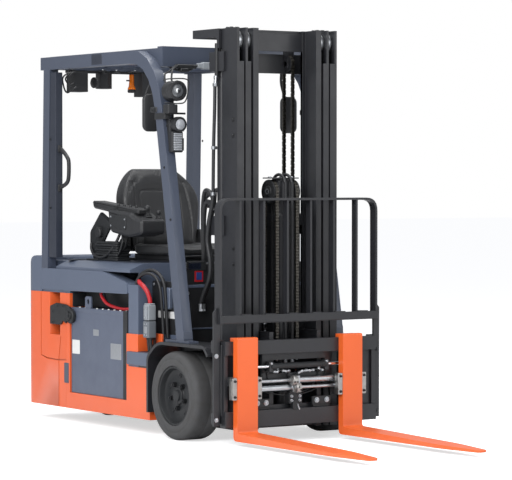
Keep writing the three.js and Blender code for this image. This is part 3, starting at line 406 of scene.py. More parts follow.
def lathe(profile, centre, axis, count=32, ring=False):
    # each profile pair (distance along the axis, radius) becomes a circle; a ring closes on itself
    axis, first, second = across(axis)
    turn = np.arange(count) * 2 * np.pi / count
    circle = np.cos(turn)[:, None] * first + np.sin(turn)[:, None] * second
    profile = np.asarray(profile, float)
    along, reach = profile[:, 0, None, None], profile[:, 1, None, None]
    points = np.asarray(centre, float) + along * axis + reach * circle
    faces = [gridFaces(len(profile), count, ring, True)]
    if not ring:
        faces += [np.arange(count)[None], (np.arange(count) + (len(profile) - 1) * count)[None]]
    return points.reshape(-1, 3), faces


def rodShape(start, end, radius, count, edge):
    # a round bar with its rims chamfered by edge
    start, end = np.asarray(start, float), np.asarray(end, float)
    length = np.linalg.norm(end - start)
    profile = [(0, radius - edge), (edge, radius), (length - edge, radius), (length, radius - edge)]
    return lathe(profile, start, end - start, count)


def smoothPath(controls, count):
    # Catmull-Rom curve through the control points, then points at even distances along it
    controls = np.asarray(controls, float)
    padded = np.vstack([2 * controls[0] - controls[1], controls, 2 * controls[-1] - controls[-2]])
    t = np.linspace(0, 1, 25)[:, None, None]
    p0, p1, p2, p3 = padded[:-3], padded[1:-2], padded[2:-1], padded[3:]
    curve = 0.5 * (2 * p1 + (p2 - p0) * t + (2 * p0 - 5 * p1 + 4 * p2 - p3) * t ** 2
                   + (3 * p1 - p0 - 3 * p2 + p3) * t ** 3)
    line = curve.transpose(1, 0, 2).reshape(-1, 3)
    steps = np.linalg.norm(np.diff(line, axis=0), axis=1)
    keep = np.r_[True, steps > 1e-9]
    line, travelled = line[keep], np.r_[0, np.cumsum(steps[steps > 1e-9])]
    want = np.linspace(0, travelled[-1], count)
    return np.stack([np.interp(want, travelled, line[:, k]) for k in range(3)], 1)


def sweep(path, profile, up):
    # a flat profile carried along a path: its first number points sideways, its second towards up
    path, profile = np.asarray(path, float), np.asarray(profile, float)
    along = np.gradient(path, axis=0)
    along /= np.linalg.norm(along, axis=1)[:, None]
    side = np.cross(along, np.asarray(up, float))
    side /= np.linalg.norm(side, axis=1)[:, None]
    over = np.cross(side, along)
    wide, high = profile[None, :, 0, None], profile[None, :, 1, None]
    points = path[:, None] + wide * side[:, None] + high * over[:, None]
    count = len(profile)
    ends = [np.arange(count)[None], (np.arange(count) + (len(path) - 1) * count)[None]]
    return points.reshape(-1, 3), [gridFaces(len(path), count, False, True)] + ends


def roundProfile(radius, count):
    turn = np.arange(count) * 2 * np.pi / count
    return np.stack([np.cos(turn), np.sin(turn)], 1) * radius


def hosePath(path, radius, sides=14):
    # a round tube along a path; its sections are turned from the axis that the path follows least
    path = np.asarray(path, float)
    along = np.gradient(path, axis=0)
    along /= np.linalg.norm(along, axis=1)[:, None]
    choices = np.array([[1, 0, 0], [0, 1, 0], [0, 0, 1], [1, 1, 0], [1, -1, 0], [0, 1, 1], [1, 0, 1],
                        [0, 1, -1], [1, 0, -1]])
    choices = choices / np.linalg.norm(choices, axis=1)[:, None]
    up = choices[np.argmin(np.abs(along @ choices.T).max(0))]
    return sweep(path, roundProfile(radius, sides), up)


def hose(controls, radius, count=40, sides=14):
    return hosePath(smoothPath(controls, count), radius, sides)


def cable(name, finishName, controls, radius, rides, count=70):
    # a free hose or cable, declared with the length of the line it follows; rides is one body, or two
    # bodies with the points between which the hose passes from one to the other, which are not used: such a
    # hose rides no body
    path = smoothPath(controls, count)
    single = isinstance(rides, str)
    piece = makePiece(name, [(finishName, hosePath(path, radius))], rides if single else None,
                      "black_plastic", sharp=60, ridden=single)
    if not single:
        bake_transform(piece)
    line = toFrame(path)
    length = float(np.linalg.norm(np.diff(line, axis=0), axis=1).sum())
    cableLengths[name] = round(length, 3)


cableLengths = {}  # metres


def roundedRectangle(u0, u1, v0, v1, radius, steps=4):
    # quarter circles at the corners, joined by straight lines
    radius = min(radius, (u1 - u0) / 2 - 0.01, (v1 - v0) / 2 - 0.01)
    turn = np.linspace(0, np.pi / 2, steps + 1)
    corners = [(u1 - radius, v1 - radius, 0), (u0 + radius, v1 - radius, 1), (u0 + radius, v0 + radius, 2),
               (u1 - radius, v0 + radius, 3)]
    parts = [np.stack([cu + radius * np.cos(turn + q * np.pi / 2),
                       cv + radius * np.sin(turn + q * np.pi / 2)], 1)
             for cu, cv, q in corners]
    return np.vstack(parts)


def roundedCorners(points, steps=4):
    # each corner (u, v, radius) becomes a quadratic curve between points at that distance from it
    points = np.asarray(points, float)
    here, radius = points[:, :2], points[:, 2:3]
    before, after = np.roll(here, 1, 0) - here, np.roll(here, -1, 0) - here
    enter = here + before / np.linalg.norm(before, axis=1)[:, None] * radius
    leave = here + after / np.linalg.norm(after, axis=1)[:, None] * radius
    t = np.linspace(0, 1, steps + 1)[None, :, None]
    curve = (1 - t) ** 2 * enter[:, None] + 2 * t * (1 - t) * here[:, None] + t ** 2 * leave[:, None]
    flat = curve.reshape(-1, 2)
    distinct = np.linalg.norm(flat - np.roll(flat, 1, 0), axis=1) > 1e-6
    return flat[distinct]


def insetOutline(outline, distance):
    # every edge moved inwards by the distance, met again at the corners
    before, after = outline - np.roll(outline, 1, 0), np.roll(outline, -1, 0) - outline
    before /= np.linalg.norm(before, axis=1)[:, None]
    after /= np.linalg.norm(after, axis=1)[:, None]
    area = np.sum(outline[:, 0] * np.roll(outline[:, 1], -1) - np.roll(outline[:, 0], -1) * outline[:, 1])
    turned = np.stack([-before[:, 1], before[:, 0]], 1) + np.stack([-after[:, 1], after[:, 0]], 1)
    inward = np.sign(area) * turned
    scale = distance * 2 / np.maximum(np.sum(inward ** 2, axis=1), 0.6)
    return outline + inward * scale[:, None]


slabAxes = {"x": (1, 2, 0), "y": (0, 2, 1), "z": (0, 1, 2)}  # where u, v and the depth go


def slab(outline, axis, low, high, edge=1.0):
    # a plate: the outline at two depths, with its rims chamfered by edge
    outline = np.asarray(outline, float)
    inner = insetOutline(outline, edge)
    rings = [(inner, low), (outline, low + edge), (outline, high - edge), (inner, high)]
    count = len(outline)
    u, v, w = slabAxes[axis]
    points = np.zeros((4, count, 3))
    for index, (ring, depth) in enumerate(rings):
        points[index, :, u], points[index, :, v], points[index, :, w] = ring[:, 0], ring[:, 1], depth
    faces = [gridFaces(4, count, False, True), np.arange(count)[None], (np.arange(count) + 3 * count)[None]]
    return points.reshape(-1, 3), faces


def block(x0, x1, y0, y1, z0, z1, radius=3.0, edge=1.5, axis="z"):
    # a box whose four long corners are rounded and whose rims are chamfered
    spans = {"x": ((y0, y1), (z0, z1), (x0, x1)), "y": ((x0, x1), (z0, z1), (y0, y1)),
             "z": ((x0, x1), (y0, y1), (z0, z1))}[axis]
    (u0, u1), (v0, v1), (low, high) = spans
    return slab(roundedRectangle(u0, u1, v0, v1, radius), axis, low, high, edge)


def sideBlock(side, near, far, *rest):
    # a block between two distances from the truck's middle, on one side of it
    return block(*sorted((side * near, side * far)), *rest)


def hexBolt(centre, axis, size, height, washer=True):
    # a six-sided head on a thin round washer
    head = lathe([(0, size * 0.56), (height * 0.8, size * 0.56), (height, size * 0.47)], centre, axis, 6)
    if not washer:
        return head
    plate = lathe([(0, size * 0.85), (1.6, size * 0.85), (2.2, size * 0.8)], centre, axis, 18)
    return joined([head, plate])


def makePiece(name, parts, body, slotName=None, sharp=32, ridden=True):
    # parts: (finish name, shape) pairs that make one piece; the faces end up pointing outwards
    shape = joined([part[1] for part in parts])
    owners = np.concatenate([np.full(sum(len(g) for g in part[1][1]), index)
                             for index, part in enumerate(parts)])
    mesh = bpy.data.meshes.new(name)
    mesh.from_pydata(toFrame(shape[0]).tolist(), [],
                     [face for group in shape[1] for face in group.tolist()])
    names = list(dict.fromkeys(part[0] for part in parts))
    for finishName in names:
        mesh.materials.append(finish[finishName])
    slots = np.array([names.index(part[0]) for part in parts])
    mesh.polygons.foreach_set("material_index", slots[owners].astype(np.int32))
    work = bmesh.new()
    work.from_mesh(mesh)
    bmesh.ops.remove_doubles(work, verts=work.verts, dist=1e-7)
    bmesh.ops.recalc_face_normals(work, faces=work.faces)
    work.to_mesh(mesh)
    work.free()
    mesh.polygons.foreach_set("use_smooth", [True] * len(mesh.polygons))
    mesh.set_sharp_from_angle(angle=math.radians(sharp))
    piece = bpy.data.objects.new(name, mesh)
    scene.collection.objects.link(piece)
    if ridden:
        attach(piece, body)
    return piece


def bothSides(name, partsOf, bodyName, slotName=None, **more):
    # partsOf(side) gives the parts on one side; bodyName may hold the side's name
    for sideName, side in sides.items():
        makePiece(f"{name}_{sideName}", partsOf(side), bodyName.format(sideName), slotName, **more)


# node: its finish, the width of its rounded edges in millimetres and its material slot
solidPieces = {
    "frame_body": ("orangeEnamel", 4, "orange_paint"),
    "counterweight": ("orangeEnamel", 7, "orange_paint"),
    "rear_cover": ("greyPowderCoat", 7, "grey_paint"),
    "battery": ("batteryCoat", 3, "grey_paint"),
    "floor_plate": ("castBlack", 2, "dark_paint"),
    "dash_panel": ("mouldedPlastic", 4, "black_plastic"),
    "steering_column": ("mouldedPlastic", 2, "black_plastic"),
    "drive_axle": ("castBlack", 3, "cast_dark"),
    # the guard's darker grey is painted shade
    "guard_roof": ("darkerBodyGrey", 3, "grey_paint"),
    "roof_module": ("mouldedPlastic", 3, "black_plastic"),
    "hood": ("greyPowderCoat", 3, "grey_paint"),
    "seat_base": ("castBlack", 2, "dark_paint"),
    "steering_wheel": ("mouldedPlastic", 0, "black_plastic"),
    "steer_yoke": ("castBlack", 3, "cast_dark"),
    "steer_hub": ("castBlack", 3, "cast_dark"),
    "outer_mast": ("mastCoat", 2, "mast_paint"),
    "middle_mast": ("mastCoat", 2, "mast_paint"),
    "inner_mast": ("mastCoat", 2, "mast_paint"),
    "free_lift_cylinder": ("mastCoat", 1, "mast_paint"),
    "crosshead": ("mastCoat", 1, "mast_paint"),
    "carriage": ("mastCoat", 2, "mast_paint"),
    "side_shifter": ("mastCoat", 3, "mast_paint"),
    "positioner_cylinders": ("zincPlate", 2, "steel"),
    "backrest": ("mastCoat", 2, "mast_paint"),
}
pairedPieces = {
    "side_beam": ("greyPowderCoat", 8, "grey_paint"),
    "battery_stopper": ("castBlack", 2, "dark_paint"),
    "fender": ("mastCoat", 3, "dark_paint"),
    # the guard's darker grey is painted shade
    "guard_side": ("darkerBodyGrey", 6, "grey_paint"),
    "front_lamps": ("mouldedPlastic", 3, "lamp_body"),
    "lift_cylinder": ("mastCoat", 1, "mast_paint"),
    "fork": ("forkEnamel", 4, "orange_paint"),
    "fork_clamp": ("zincPlate", 2, "steel"),
    "tilt_barrel": ("mastCoat", 2, "mast_paint"),
    "tilt_rod": ("hardChrome", 0, "steel"),
}
for sideName in sides:
    solidPieces.update({f"{name}_{sideName}": values for name, values in pairedPieces.items()})
bodyOfNode = {node: body for body, nodes in frame["record"]["behaviour"]["bodies"].items()
              for node in nodes}


skinDetail = {"merge": 2e-5, "flat": math.radians(0.6), "sharp": math.radians(32)}  # metres, radians


def roundedCopy(node, finishName, edge, slotName):
    # the node's loose triangles merged, flat faces made whole, and the sharp edges rounded
    piece = bpy.data.objects.new("skin_" + node, frame["nodes"][node].data.copy())
    scene.collection.objects.link(piece)
    work = bmesh.new()
    work.from_mesh(piece.data)
    bmesh.ops.remove_doubles(work, verts=work.verts, dist=skinDetail["merge"])
    bmesh.ops.dissolve_limit(work, angle_limit=skinDetail["flat"], verts=work.verts, edges=work.edges)
    work.to_mesh(piece.data)
    work.free()
    piece.data.materials.clear()
    piece.data.materials.append(finish[finishName])
    piece.data.polygons.foreach_set("use_smooth", [True] * len(piece.data.polygons))
    piece.data.set_sharp_from_angle(angle=skinDetail["sharp"])
    if edge:
        bevel = piece.modifiers.new("edge", "BEVEL")
        bevel.width = edge / 1000
        bevel.segments = 2
        bevel.limit_method = "ANGLE"
        bevel.angle_limit = skinDetail["sharp"]
        bevel.use_clamp_overlap = True
        bevel.harden_normals = True
    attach(piece, bodyOfNode[node])
    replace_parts(piece, node)
    return piece


skins = {node: roundedCopy(node, *values) for node, values in solidPieces.items()}
print("solids are rounded:", len(skins))


driveWheel = {"radius": 228.5, "half": 89, "middle": 440, "rim": 154, "nutCircle": 65, "nuts": 5}
steerWheel = {"radius": 190, "half": 57, "middle": 77, "rim": 96}
steerY = (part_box("steer_hub")[0].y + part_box("steer_hub")[1].y) * 500 - axleY * 1000


def tyreProfile(w):
    # a press-on tyre's section, bead to bead: bulged walls with a moulded ridge, rounded shoulders
    half, radius, rim = w["half"], w["radius"], w["rim"]
    wall = radius - rim
    side = [(half - 3, rim), (half - 1, rim + 3), (half - 0.6, rim + 0.16 * wall),
            (half, rim + 0.30 * wall), (half - 0.2, rim + 0.42 * wall), (half - 1.6, rim + 0.45 * wall),
            (half - 1.6, rim + 0.49 * wall), (half - 0.3, rim + 0.52 * wall),
            (half - 0.6, rim + 0.66 * wall), (half - 3, rim + 0.76 * wall), (half - 8, rim + 0.86 * wall),
            (half - 15, rim + 0.94 * wall), (half - 24, rim + 0.985 * wall), (half - 34, radius)]
    crown = [(half - 46, radius), (1.4, radius), (0, radius - 0.8), (-1.4, radius), (46 - half, radius)]
    other = [(-distance, height) for distance, height in reversed(side)]
    return side + crown + other


def makeTyre(name, wheel, centre, side, body, node):
    rubber = lathe(tyreProfile(wheel), centre, (side, 0, 0), 96, True)
    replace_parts(makePiece(name, [("tyreRubber", rubber)], body, "tyre_rubber", sharp=40), node)


def driveRimParts(side):
    # a dished disc between two flanges, five wheel nuts on their studs and the hub's cap
    w = driveWheel
    centre, axis = (side * w["middle"], 0, w["radius"]), (side, 0, 0)
    rim = w["rim"] - 0.4
    disc = lathe([(-81, 60), (-81, rim - 4), (-78, rim), (76, rim), (81, rim - 1.5), (82, rim - 6),
                  (80.5, rim - 11), (76, rim - 13), (60, rim - 15), (52, rim - 18), (47.5, rim - 26),
                  (46, rim - 40), (46, 92), (48, 86), (49, 50), (53, 46), (60, 45), (62, 43), (62, 30),
                  (70, 28), (72, 25), (72, 6)],
                 centre, axis, 72)
    turn = np.radians(-86 + 72 * np.arange(w["nuts"]))
    places = np.stack([0 * turn, np.cos(turn) * w["nutCircle"], np.sin(turn) * w["nutCircle"]], 1)
    nut = joined([lathe([(48, 14), (50, 14), (54, 11.5), (68, 11.5), (70, 9.5)], centre, axis, 6),
                  lathe([(68, 6), (75, 6), (76, 5)], centre, axis, 12)])
    turn = np.radians(-50 + 72 * np.arange(w["nuts"]))
    holes = np.stack([0 * turn, np.cos(turn) * 104, np.sin(turn) * 104], 1)
    boss = lathe([(45, 11), (49.5, 11), (50.5, 10), (50.5, 6), (47, 5)], centre, axis, 18)
    fins = [block(side * w["middle"] + side * 60 - 4, side * w["middle"] + side * 60 + 4, a, b, c, d, 2, 1)
            for a, b, c, d in ((-42, 42, 220.5, 236.5), (-8, 8, 186.5, 270.5))]
    return [("castBlack", disc), ("castBlack", copies(boss, holes)), ("castBlack", joined(fins)),
            ("zincBlack", copies(nut, places))]


for sideName, side in sides.items():
    centre = (side * driveWheel["middle"], 0, driveWheel["radius"])
    body = f"drive_wheel_{sideName}"
    makeTyre(f"driveTyre_{sideName}", driveWheel, centre, side, body, f"drive_tyre_{sideName}")
    rim = makePiece(f"driveRim_{sideName}", driveRimParts(side), body, "dark_paint")
    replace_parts(rim, f"drive_rim_{sideName}")
    centre = (side * steerWheel["middle"], steerY, steerWheel["radius"])
    makeTyre(f"steerTyre_{sideName}", steerWheel, centre, side, "steer_wheels", f"steer_tyre_{sideName}")
print("wheels are made")


mastDetail = {
    "rollerY": -197, "rollerZ": 2046, "rollerRadius": 49.4, "outerRollerX": 258.7, "middleRollerX": 211.7,
    "railBoltX": 309.2, "railBoltZ": (1560, 1640, 905, 985), "beamTop": 2108, "beamBoltX": (250, 284),
    "beamBoltY": (-175, -140), "supplyX": -331,
    "sheaveX": 62, "sheaveY": -205, "sheaveZ": 1275, "pitchRadius": 55,
    "carriageAnchor": 495, "mastAnchor": 590, "pitch": 15.875,
    "stageX": 150, "stageY": -94, "stageRadius": 40, "stageTop": 1940, "stageInner": 305,
    "stageOuter": 1230, "hoseX": (-12, 30), "hoseRadius": 8, "hoseLow": 430, "hoseRear": 640,
}


def leafChain(path, x, pitch, height=14.5, width=18.0):
    # plates of a leaf chain along a path, laced in turns, with a pin at each joint
    path = np.asarray(path, float)
    steps = np.linalg.norm(np.diff(path, axis=0), axis=1)
    travelled = np.r_[0, np.cumsum(steps)]
    joints = np.arange(0, travelled[-1] + 0.01, pitch)
    spot = np.stack([np.interp(joints, travelled, path[:, k]) for k in range(2)], 1)
    middle, along = (spot[1:] + spot[:-1]) / 2, spot[1:] - spot[:-1]
    along /= np.linalg.norm(along, axis=1)[:, None]
    normal = np.stack([-along[:, 1], along[:, 0]], 1)
    # a plate is two round ends joined by a slightly pinched waist
    turn = np.radians([-80, -40, 0, 40, 80])
    end = np.stack([pitch / 2 + height / 2 * np.cos(turn), height / 2 * np.sin(turn)], 1)
    outline = np.vstack([end, [[0, height * 0.40]], -end, [[0, -height * 0.40]]])
    thick = width / 8
    shapes = []
    for lane in range(8):
        chosen = np.arange(len(middle)) % 2 == lane % 2
        flat = (middle[chosen][:, None] + outline[None, :, :1] * along[chosen][:, None]
                + outline[None, :, 1:] * normal[chosen][:, None])
        low = x - width / 2 + lane * thick + 0.12
        rings = np.zeros((flat.shape[0], 2, len(outline), 3))
        rings[:, :, :, 1:] = flat[:, None]
        rings[:, 0, :, 0], rings[:, 1, :, 0] = low, low + thick - 0.24
        one = [gridFaces(2, 12, False, True), np.arange(12)[None], 12 + np.arange(12)[None]]
        starts = np.arange(flat.shape[0]) * 24
        faces = [(group[None] + starts[:, None, None]).reshape(-1, group.shape[1]) for group in one]
        shapes.append((rings.reshape(-1, 3), faces))
    pin = lathe([(-width / 2 - 1.4, 2.2), (-width / 2 - 0.8, 3), (width / 2 + 0.8, 3),
                 (width / 2 + 1.4, 2.2)],
                (0, 0, 0), (1, 0, 0), 10)
    places = np.stack([np.full(len(spot), x), spot[:, 0], spot[:, 1]], 1)
    shapes.append(copies(pin, places))
    return joined(shapes)


def overTheTop(centreY, centreZ, radius, start, end, count=16):
    # points on a circle, angles in degrees from the truck's front, over the top
    turn = np.radians(np.linspace(start, end, count))
    return np.stack([centreY - radius * np.cos(turn), centreZ + radius * np.sin(turn)], 1)


def anchorBolt(x, y, top, length):
    # the chain's fork, its threaded rod and two nuts
    fork = block(x - 10.5, x + 10.5, y - 8, y + 8, top - 26, top + 8, 4, 2)
    rod = lathe([(0, 6), (length - 26, 6)], (x, y, top - length), (0, 0, 1), 16)
    nuts = joined([lathe([(0, 12), (1, 13), (9, 13), (10, 12)], (x, y, top - length + d), (0, 0, 1), 6)
                   for d in (6, 17)])
    return joined([fork, rod, nuts])


def chainRun(name, x, wheel, endZ, rear, pitch, height=14.5):
    # one run of chain, from its end up to the top of the wheel (y, z, radius) that it passes over, on the
    # wheel's front or rear; the run is left on no body
    y = wheel[0] + (wheel[2] if rear else -wheel[2])
    arc = overTheTop(*wheel, 90, 180)[::-1] if rear else overTheTop(*wheel, 0, 90)
    path = np.vstack([[[y, endZ]], arc])
    piece = makePiece(name, [("oiledSteel", leafChain(path, x, pitch, height))], None, "steel",
                      ridden=False)
    if rear:
        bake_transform(piece)
    else:
        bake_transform(piece)
    return piece


def mastChains(m):
    sheave = (m["sheaveY"], m["sheaveZ"], m["pitchRadius"])
    stage = (m["stageY"] + m["stageRadius"], m["stageTop"], m["stageRadius"])
    for sideName, side in sides.items():
        x = side * m["sheaveX"]
        piece = chainRun(f"carriageChain_{sideName}", x, sheave, m["carriageAnchor"], False,
                         m["pitch"])
        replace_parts(piece, "carriage_chains")
        piece = chainRun(f"mastChain_{sideName}", x, sheave, m["mastAnchor"], True,
                         m["pitch"])
        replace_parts(piece, "mast_chains")
        for name, y, end, length, body in (("carriage", sheave[0] - sheave[2], m["carriageAnchor"], 95,
                                            "carriage"),
                                           ("mast", sheave[0] + sheave[2], m["mastAnchor"], 80,
                                            "inner_mast")):
            makePiece(f"{name}Anchor_{sideName}", [("zincPlate", anchorBolt(x, y, end + 6, length))], body,
                      "steel")
        # the second stage: from the inner mast's foot up over the middle mast and down to the outer one
        x, centre = side * m["stageX"], stage[0]
        chainRun(f"stageChainFront_{sideName}", x, stage, m["stageInner"], False,
                 m["pitch"], 13.0)
        chainRun(f"stageChainRear_{sideName}", x, stage, m["stageOuter"], True,
                 m["pitch"], 13.0)
        wheel = lathe([(-11, 30), (-11, 40), (-9.5, 42), (-9.2, 33), (9.2, 33), (9.5, 42), (11, 40),
                       (11, 30), (13, 14), (-13, 14)], (x, centre, m["stageTop"]), (1, 0, 0), 48, True)
        axlePin = lathe([(-19, 7), (-19, 12), (19, 12), (19, 7)], (x, centre, m["stageTop"]), (1, 0, 0), 20)
        hangers = [block(x + a, x + b, centre - 24, centre + 24, m["stageTop"] - 26, 2066, 8, 1, "x")
                   for a, b in ((-19, -14), (14, 19))]
        makePiece(f"stageSheave_{sideName}",
                  [("mastCoat", wheel), ("zincPlate", axlePin), ("mastCoat", joined(hangers))],
                  "middle_mast", "mast_paint")


def rollerParts(x, m):
    # a hardened roller seen through the rail's notch, with its bearing seal
    outward = 1 if x > 0 else -1
    centre = (x, m["rollerY"], m["rollerZ"])
    r = m["rollerRadius"]
    tread = lathe([(0, 30), (0, r - 5), (1, r - 2), (3, r), (29, r), (31, r - 2), (32.5, r - 5),
                   (32.5, 30)],
                  centre, (outward, 0, 0), 64, True)
    seal = lathe([(1.2, 12), (1.2, 31), (30, 31), (30, 12)], centre, (outward, 0, 0), 40)
    return [("zincPlate", tread), ("castBlack", seal)]


def mastTrim(m):
    # rollers, bolts, the lift cylinders' glands and the sheaves' cheeks, then the free-lift cylinder's own
    for sideName, side in sides.items():
        makePiece(f"outerRoller_{sideName}", rollerParts(side * m["outerRollerX"], m), "outer_mast",
                  "steel", sharp=40)
        makePiece(f"middleRoller_{sideName}", rollerParts(side * m["middleRollerX"], m), "middle_mast",
                  "steel", sharp=40)
        # bolt heads along the outer rail and on the top beam
        spots = [(side * m["railBoltX"], -230, z) for z in m["railBoltZ"]]
        bolts = joined([hexBolt(s, (side, 0, 0), 13, 6) for s in spots])
        makePiece(f"railBolts_{sideName}", [("blackBolt", bolts)], "outer_mast", "steel")
        spots = [(side * x, y, m["beamTop"]) for y in m["beamBoltY"] for x in m["beamBoltX"]]
        bolts = joined([hexBolt(s, (0, 0, 1), 17, 8) for s in spots])
        makePiece(f"beamBolts_{sideName}", [("blackBolt", bolts)], "middle_mast", "steel")
        # the lift cylinder's gland with its wiper, and the tie clamp that holds it to the rail
        gland = lathe([(0, 24), (0, 33), (2, 34), (26, 34), (28, 32), (28, 28), (33, 26), (33, 23.4)],
                      (side * 276, -84, 1958), (0, 0, 1), 40, True)
        makePiece(f"liftGland_{sideName}", [("zincPlate", gland)], "outer_mast", "steel", sharp=40)
        # the sheave's cheek, hub and retaining ring
        x = side * (m["sheaveX"] + 13.2)
        cheek = lathe([(0, 58), (3, 60.5), (5, 60), (5.4, 52), (3, 49), (3, 30), (7, 26), (9, 20), (9, 9)],
                      (x, m["sheaveY"], m["sheaveZ"]), (side, 0, 0), 56)
        ring = lathe([(8, 11), (10.5, 11), (10.5, 14.5), (8, 14.5)], (x, m["sheaveY"], m["sheaveZ"]),
                     (side, 0, 0), 28, True)
        makePiece(f"sheaveCheek_{sideName}", [("castBlack", cheek), ("zincPlate", ring)], "crosshead",
                  "steel", sharp=40)
    crown = [hexBolt((x, -205, 1345.5), (0, 0, 1), 15, 7) for x in (-68, 0, 68)]
    makePiece("crownBolts", [("zincPlate", joined(crown))], "crosshead", "steel")
    gland = lathe([(0, 28), (0, 44), (2, 46), (34, 46), (37, 43), (37, 36), (46, 33), (46, 28)],
                  (0, -205, 1118), (0, 0, 1), 48, True)
    makePiece("freeLiftGland", [("mastCoat", gland)], "inner_mast", "mast_paint", sharp=40)


def mastHoses(m):
    # two hoses run up from the inner mast, over the crown and down to the carriage
    reach = 61
    for number, x in enumerate(m["hoseX"]):
        front, rear, top = m["sheaveY"] - reach, m["sheaveY"] + reach, 1301
        arc = overTheTop(m["sheaveY"], top, reach, 0, 90, 12)
        path = np.insert(np.vstack([[[front, m["hoseLow"]], [front, 700], [front, 1000]], arc]), 0, x,
                         axis=1)
        cable(f"carriageHose_{number}", "hoseRubber", path, m["hoseRadius"],
              ("crosshead", "carriage", (x, front, top), (x, front, m["hoseLow"])), count=100)
        arc = overTheTop(m["sheaveY"], top, reach, 90, 180, 12)
        path = np.insert(np.vstack([[[rear, m["hoseRear"]], [rear, 900]], arc[::-1]]), 0, x, axis=1)
        cable(f"mastHose_{number}", "hoseRubber", path, m["hoseRadius"],
              ("inner_mast", "crosshead", (x, rear, m["hoseRear"]), (x, rear, top)), count=80)
        ends = [ferrule((x, front, m["hoseLow"] - 34), (0, 0, 1)),
                ferrule((x, rear, m["hoseRear"] - 34), (0, 0, 1))]
        makePiece(f"carriageHoseEnd_{number}", [("zincPlate", ends[0])], "carriage", "steel")
        makePiece(f"mastHoseEnd_{number}", [("zincPlate", ends[1])], "inner_mast", "steel")


def ferrule(start, axis, radius=8.0):
    # a crimped hose end: hexagon nut, neck and sleeve with two grooves
    nut = lathe([(0, radius * 1.25), (1, radius * 1.4), (11, radius * 1.4), (12, radius * 1.25)], start,
                axis, 6)
    sleeve = lathe([(11, radius * 0.7), (14, radius * 0.7), (14, radius * 1.22), (19, radius * 1.22),
                    (20, radius * 1.12), (22, radius * 1.12), (23, radius * 1.22), (29, radius * 1.22),
                    (30, radius * 1.12), (32, radius * 1.12), (33, radius * 1.22), (38, radius * 1.22),
                    (38.5, radius)], start, axis, 22)
    return joined([nut, sleeve])


def pipeClamp(centre, reach, side):
    # a zinc strap round the pipe, its foot plate towards the rail and its bolt
    x, y, z = centre
    strap = lathe([(-8, 10), (-8, 12.4), (8, 12.4), (8, 10)], centre, (0, 0, 1), 28, True)
    foot = block(min(x, x - side * reach), max(x, x - side * reach), y - 3, y + 3, z - 8, z + 8, 2, 0.8,
                 "y")
    return joined([strap, foot, hexBolt((x - side * (reach - 8), y - 3, z), (0, -1, 0), 9, 5)])


def supplyLine(m):
    # up the right rail: hoses from the deck, a pipe in two clamps, a sprung hose at the top
    x = m["supplyX"]
    pipe = hose([(x, -93, 1818), (x, -90, 1700), (x, -80, 1499), (x, -75, 1263)], 9, 50, 16)
    makePiece("supplyPipe", [("mastCoat", pipe)], "outer_mast", "mast_paint", sharp=60)
    for z, y in ((1499, -80), (1263, -75)):
        makePiece(f"pipeClamp_{z}", [("zincPlate", pipeClamp((x, y, z), 20, -1))], "outer_mast", "steel")
    coil = np.arange(0, 172, 3.0)
    rings = lathe(np.stack([coil, 10.6 + 1.5 * (np.arange(len(coil)) % 2)], 1), (x + 8, -98, 1862),
                  (0.02, 0.02, 1), 18)
    makePiece("sprungHose", [("castBlack", rings)], "outer_mast", "steel", sharp=80)
    elbow = joined([lathe([(0, 11), (1.5, 13), (16, 13), (17.5, 11)], (x, -94, 1812), (0, 0, 1), 6),
                    lathe([(0, 10), (24, 10), (25, 12), (38, 12), (39, 10)], (x + 2, -95, 1828),
                          (0.08, -0.02, 1), 20)])
    makePiece("pipeElbow", [("zincPlate", elbow)], "outer_mast", "steel")
    for number, (dx, dy) in enumerate(((0, 0), (17, 9))):
        path = [(x + dx, -75 + dy, 1268), (x + dx, -66 + dy, 1210), (x + dx - 2, -38 + dy, 1120),
                (x + dx - 4, -26 + dy, 1020), (x + dx - 3, -50 + dy, 920), (x + dx, -38 + dy, 830),
                (x + dx + 2, 22 + dy, 742), (x + dx + 4, 46 + dy, 700)]
        cable(f"supplyHose_{number}", "hoseRubber", path, 11,
              ("chassis", "outer_mast", (x, 46, 700), (x, -66, 1180)), count=90)
        ends = ferrule((x + dx + 4, 48 + dy, 655), (0, 0, 1), 11)
        makePiece(f"supplyHoseEnd_{number}", [("zincPlate", ends)], "chassis", "steel")


def loopHoses():
    # two thick hoses loop back from the low clamp to the cowl
    for number, (z, dx) in enumerate(((1266, 0), (1206, 6))):
        path = [(-322 + dx, -66, z - 30), (-326 + dx, -34, z + 6), (-322 + dx, 16, z + 8),
                (-300 + dx, 70, z - 70), (-276 + dx, 108, z - 190), (-262 + dx, 122, 905)]
        cable(f"loopHose_{number}", "hoseRubber", path, 12,
              ("chassis", "outer_mast", (-290, 90, 1080), (-322, -60, z)))


mastChains(mastDetail)
mastTrim(mastDetail)
mastHoses(mastDetail)
supplyLine(mastDetail)
loopHoses()
print("mast chains, rollers and hoses are made")


shifterDetail = {
    "barrelY": -380, "barrelZ": 390, "barrel": (-181, 158), "barrelRadius": 18,
    "plateBolts": ((-268, -215), (97, 159)), "postBolts": (452, 131),
    "sheetInner": {"right": -444, "left": 392}, "uprights": (-360, -216, -72, 72, 216, 360),
    "clampLow": 232, "clampHigh": 343, "forkOuter": (-420.2, 349.0), "forkInner": (-298.2, 227.0),
}


def elbowFitting(centre, first, second, radius=8.5):
    # two hexagon ends that meet in a rounded block
    centre = np.asarray(centre, float)
    arms = [lathe([(0, radius), (14, radius), (14, radius * 1.35), (25, radius * 1.35), (26, radius * 1.2)],
                  centre, way, 6) for way in (first, second)]
    turn = np.radians(np.linspace(-85, 85, 9))
    ball = lathe(np.stack([np.sin(turn), np.cos(turn)], 1) * radius * 1.3, centre, first, 18)
    return joined(arms + [ball])


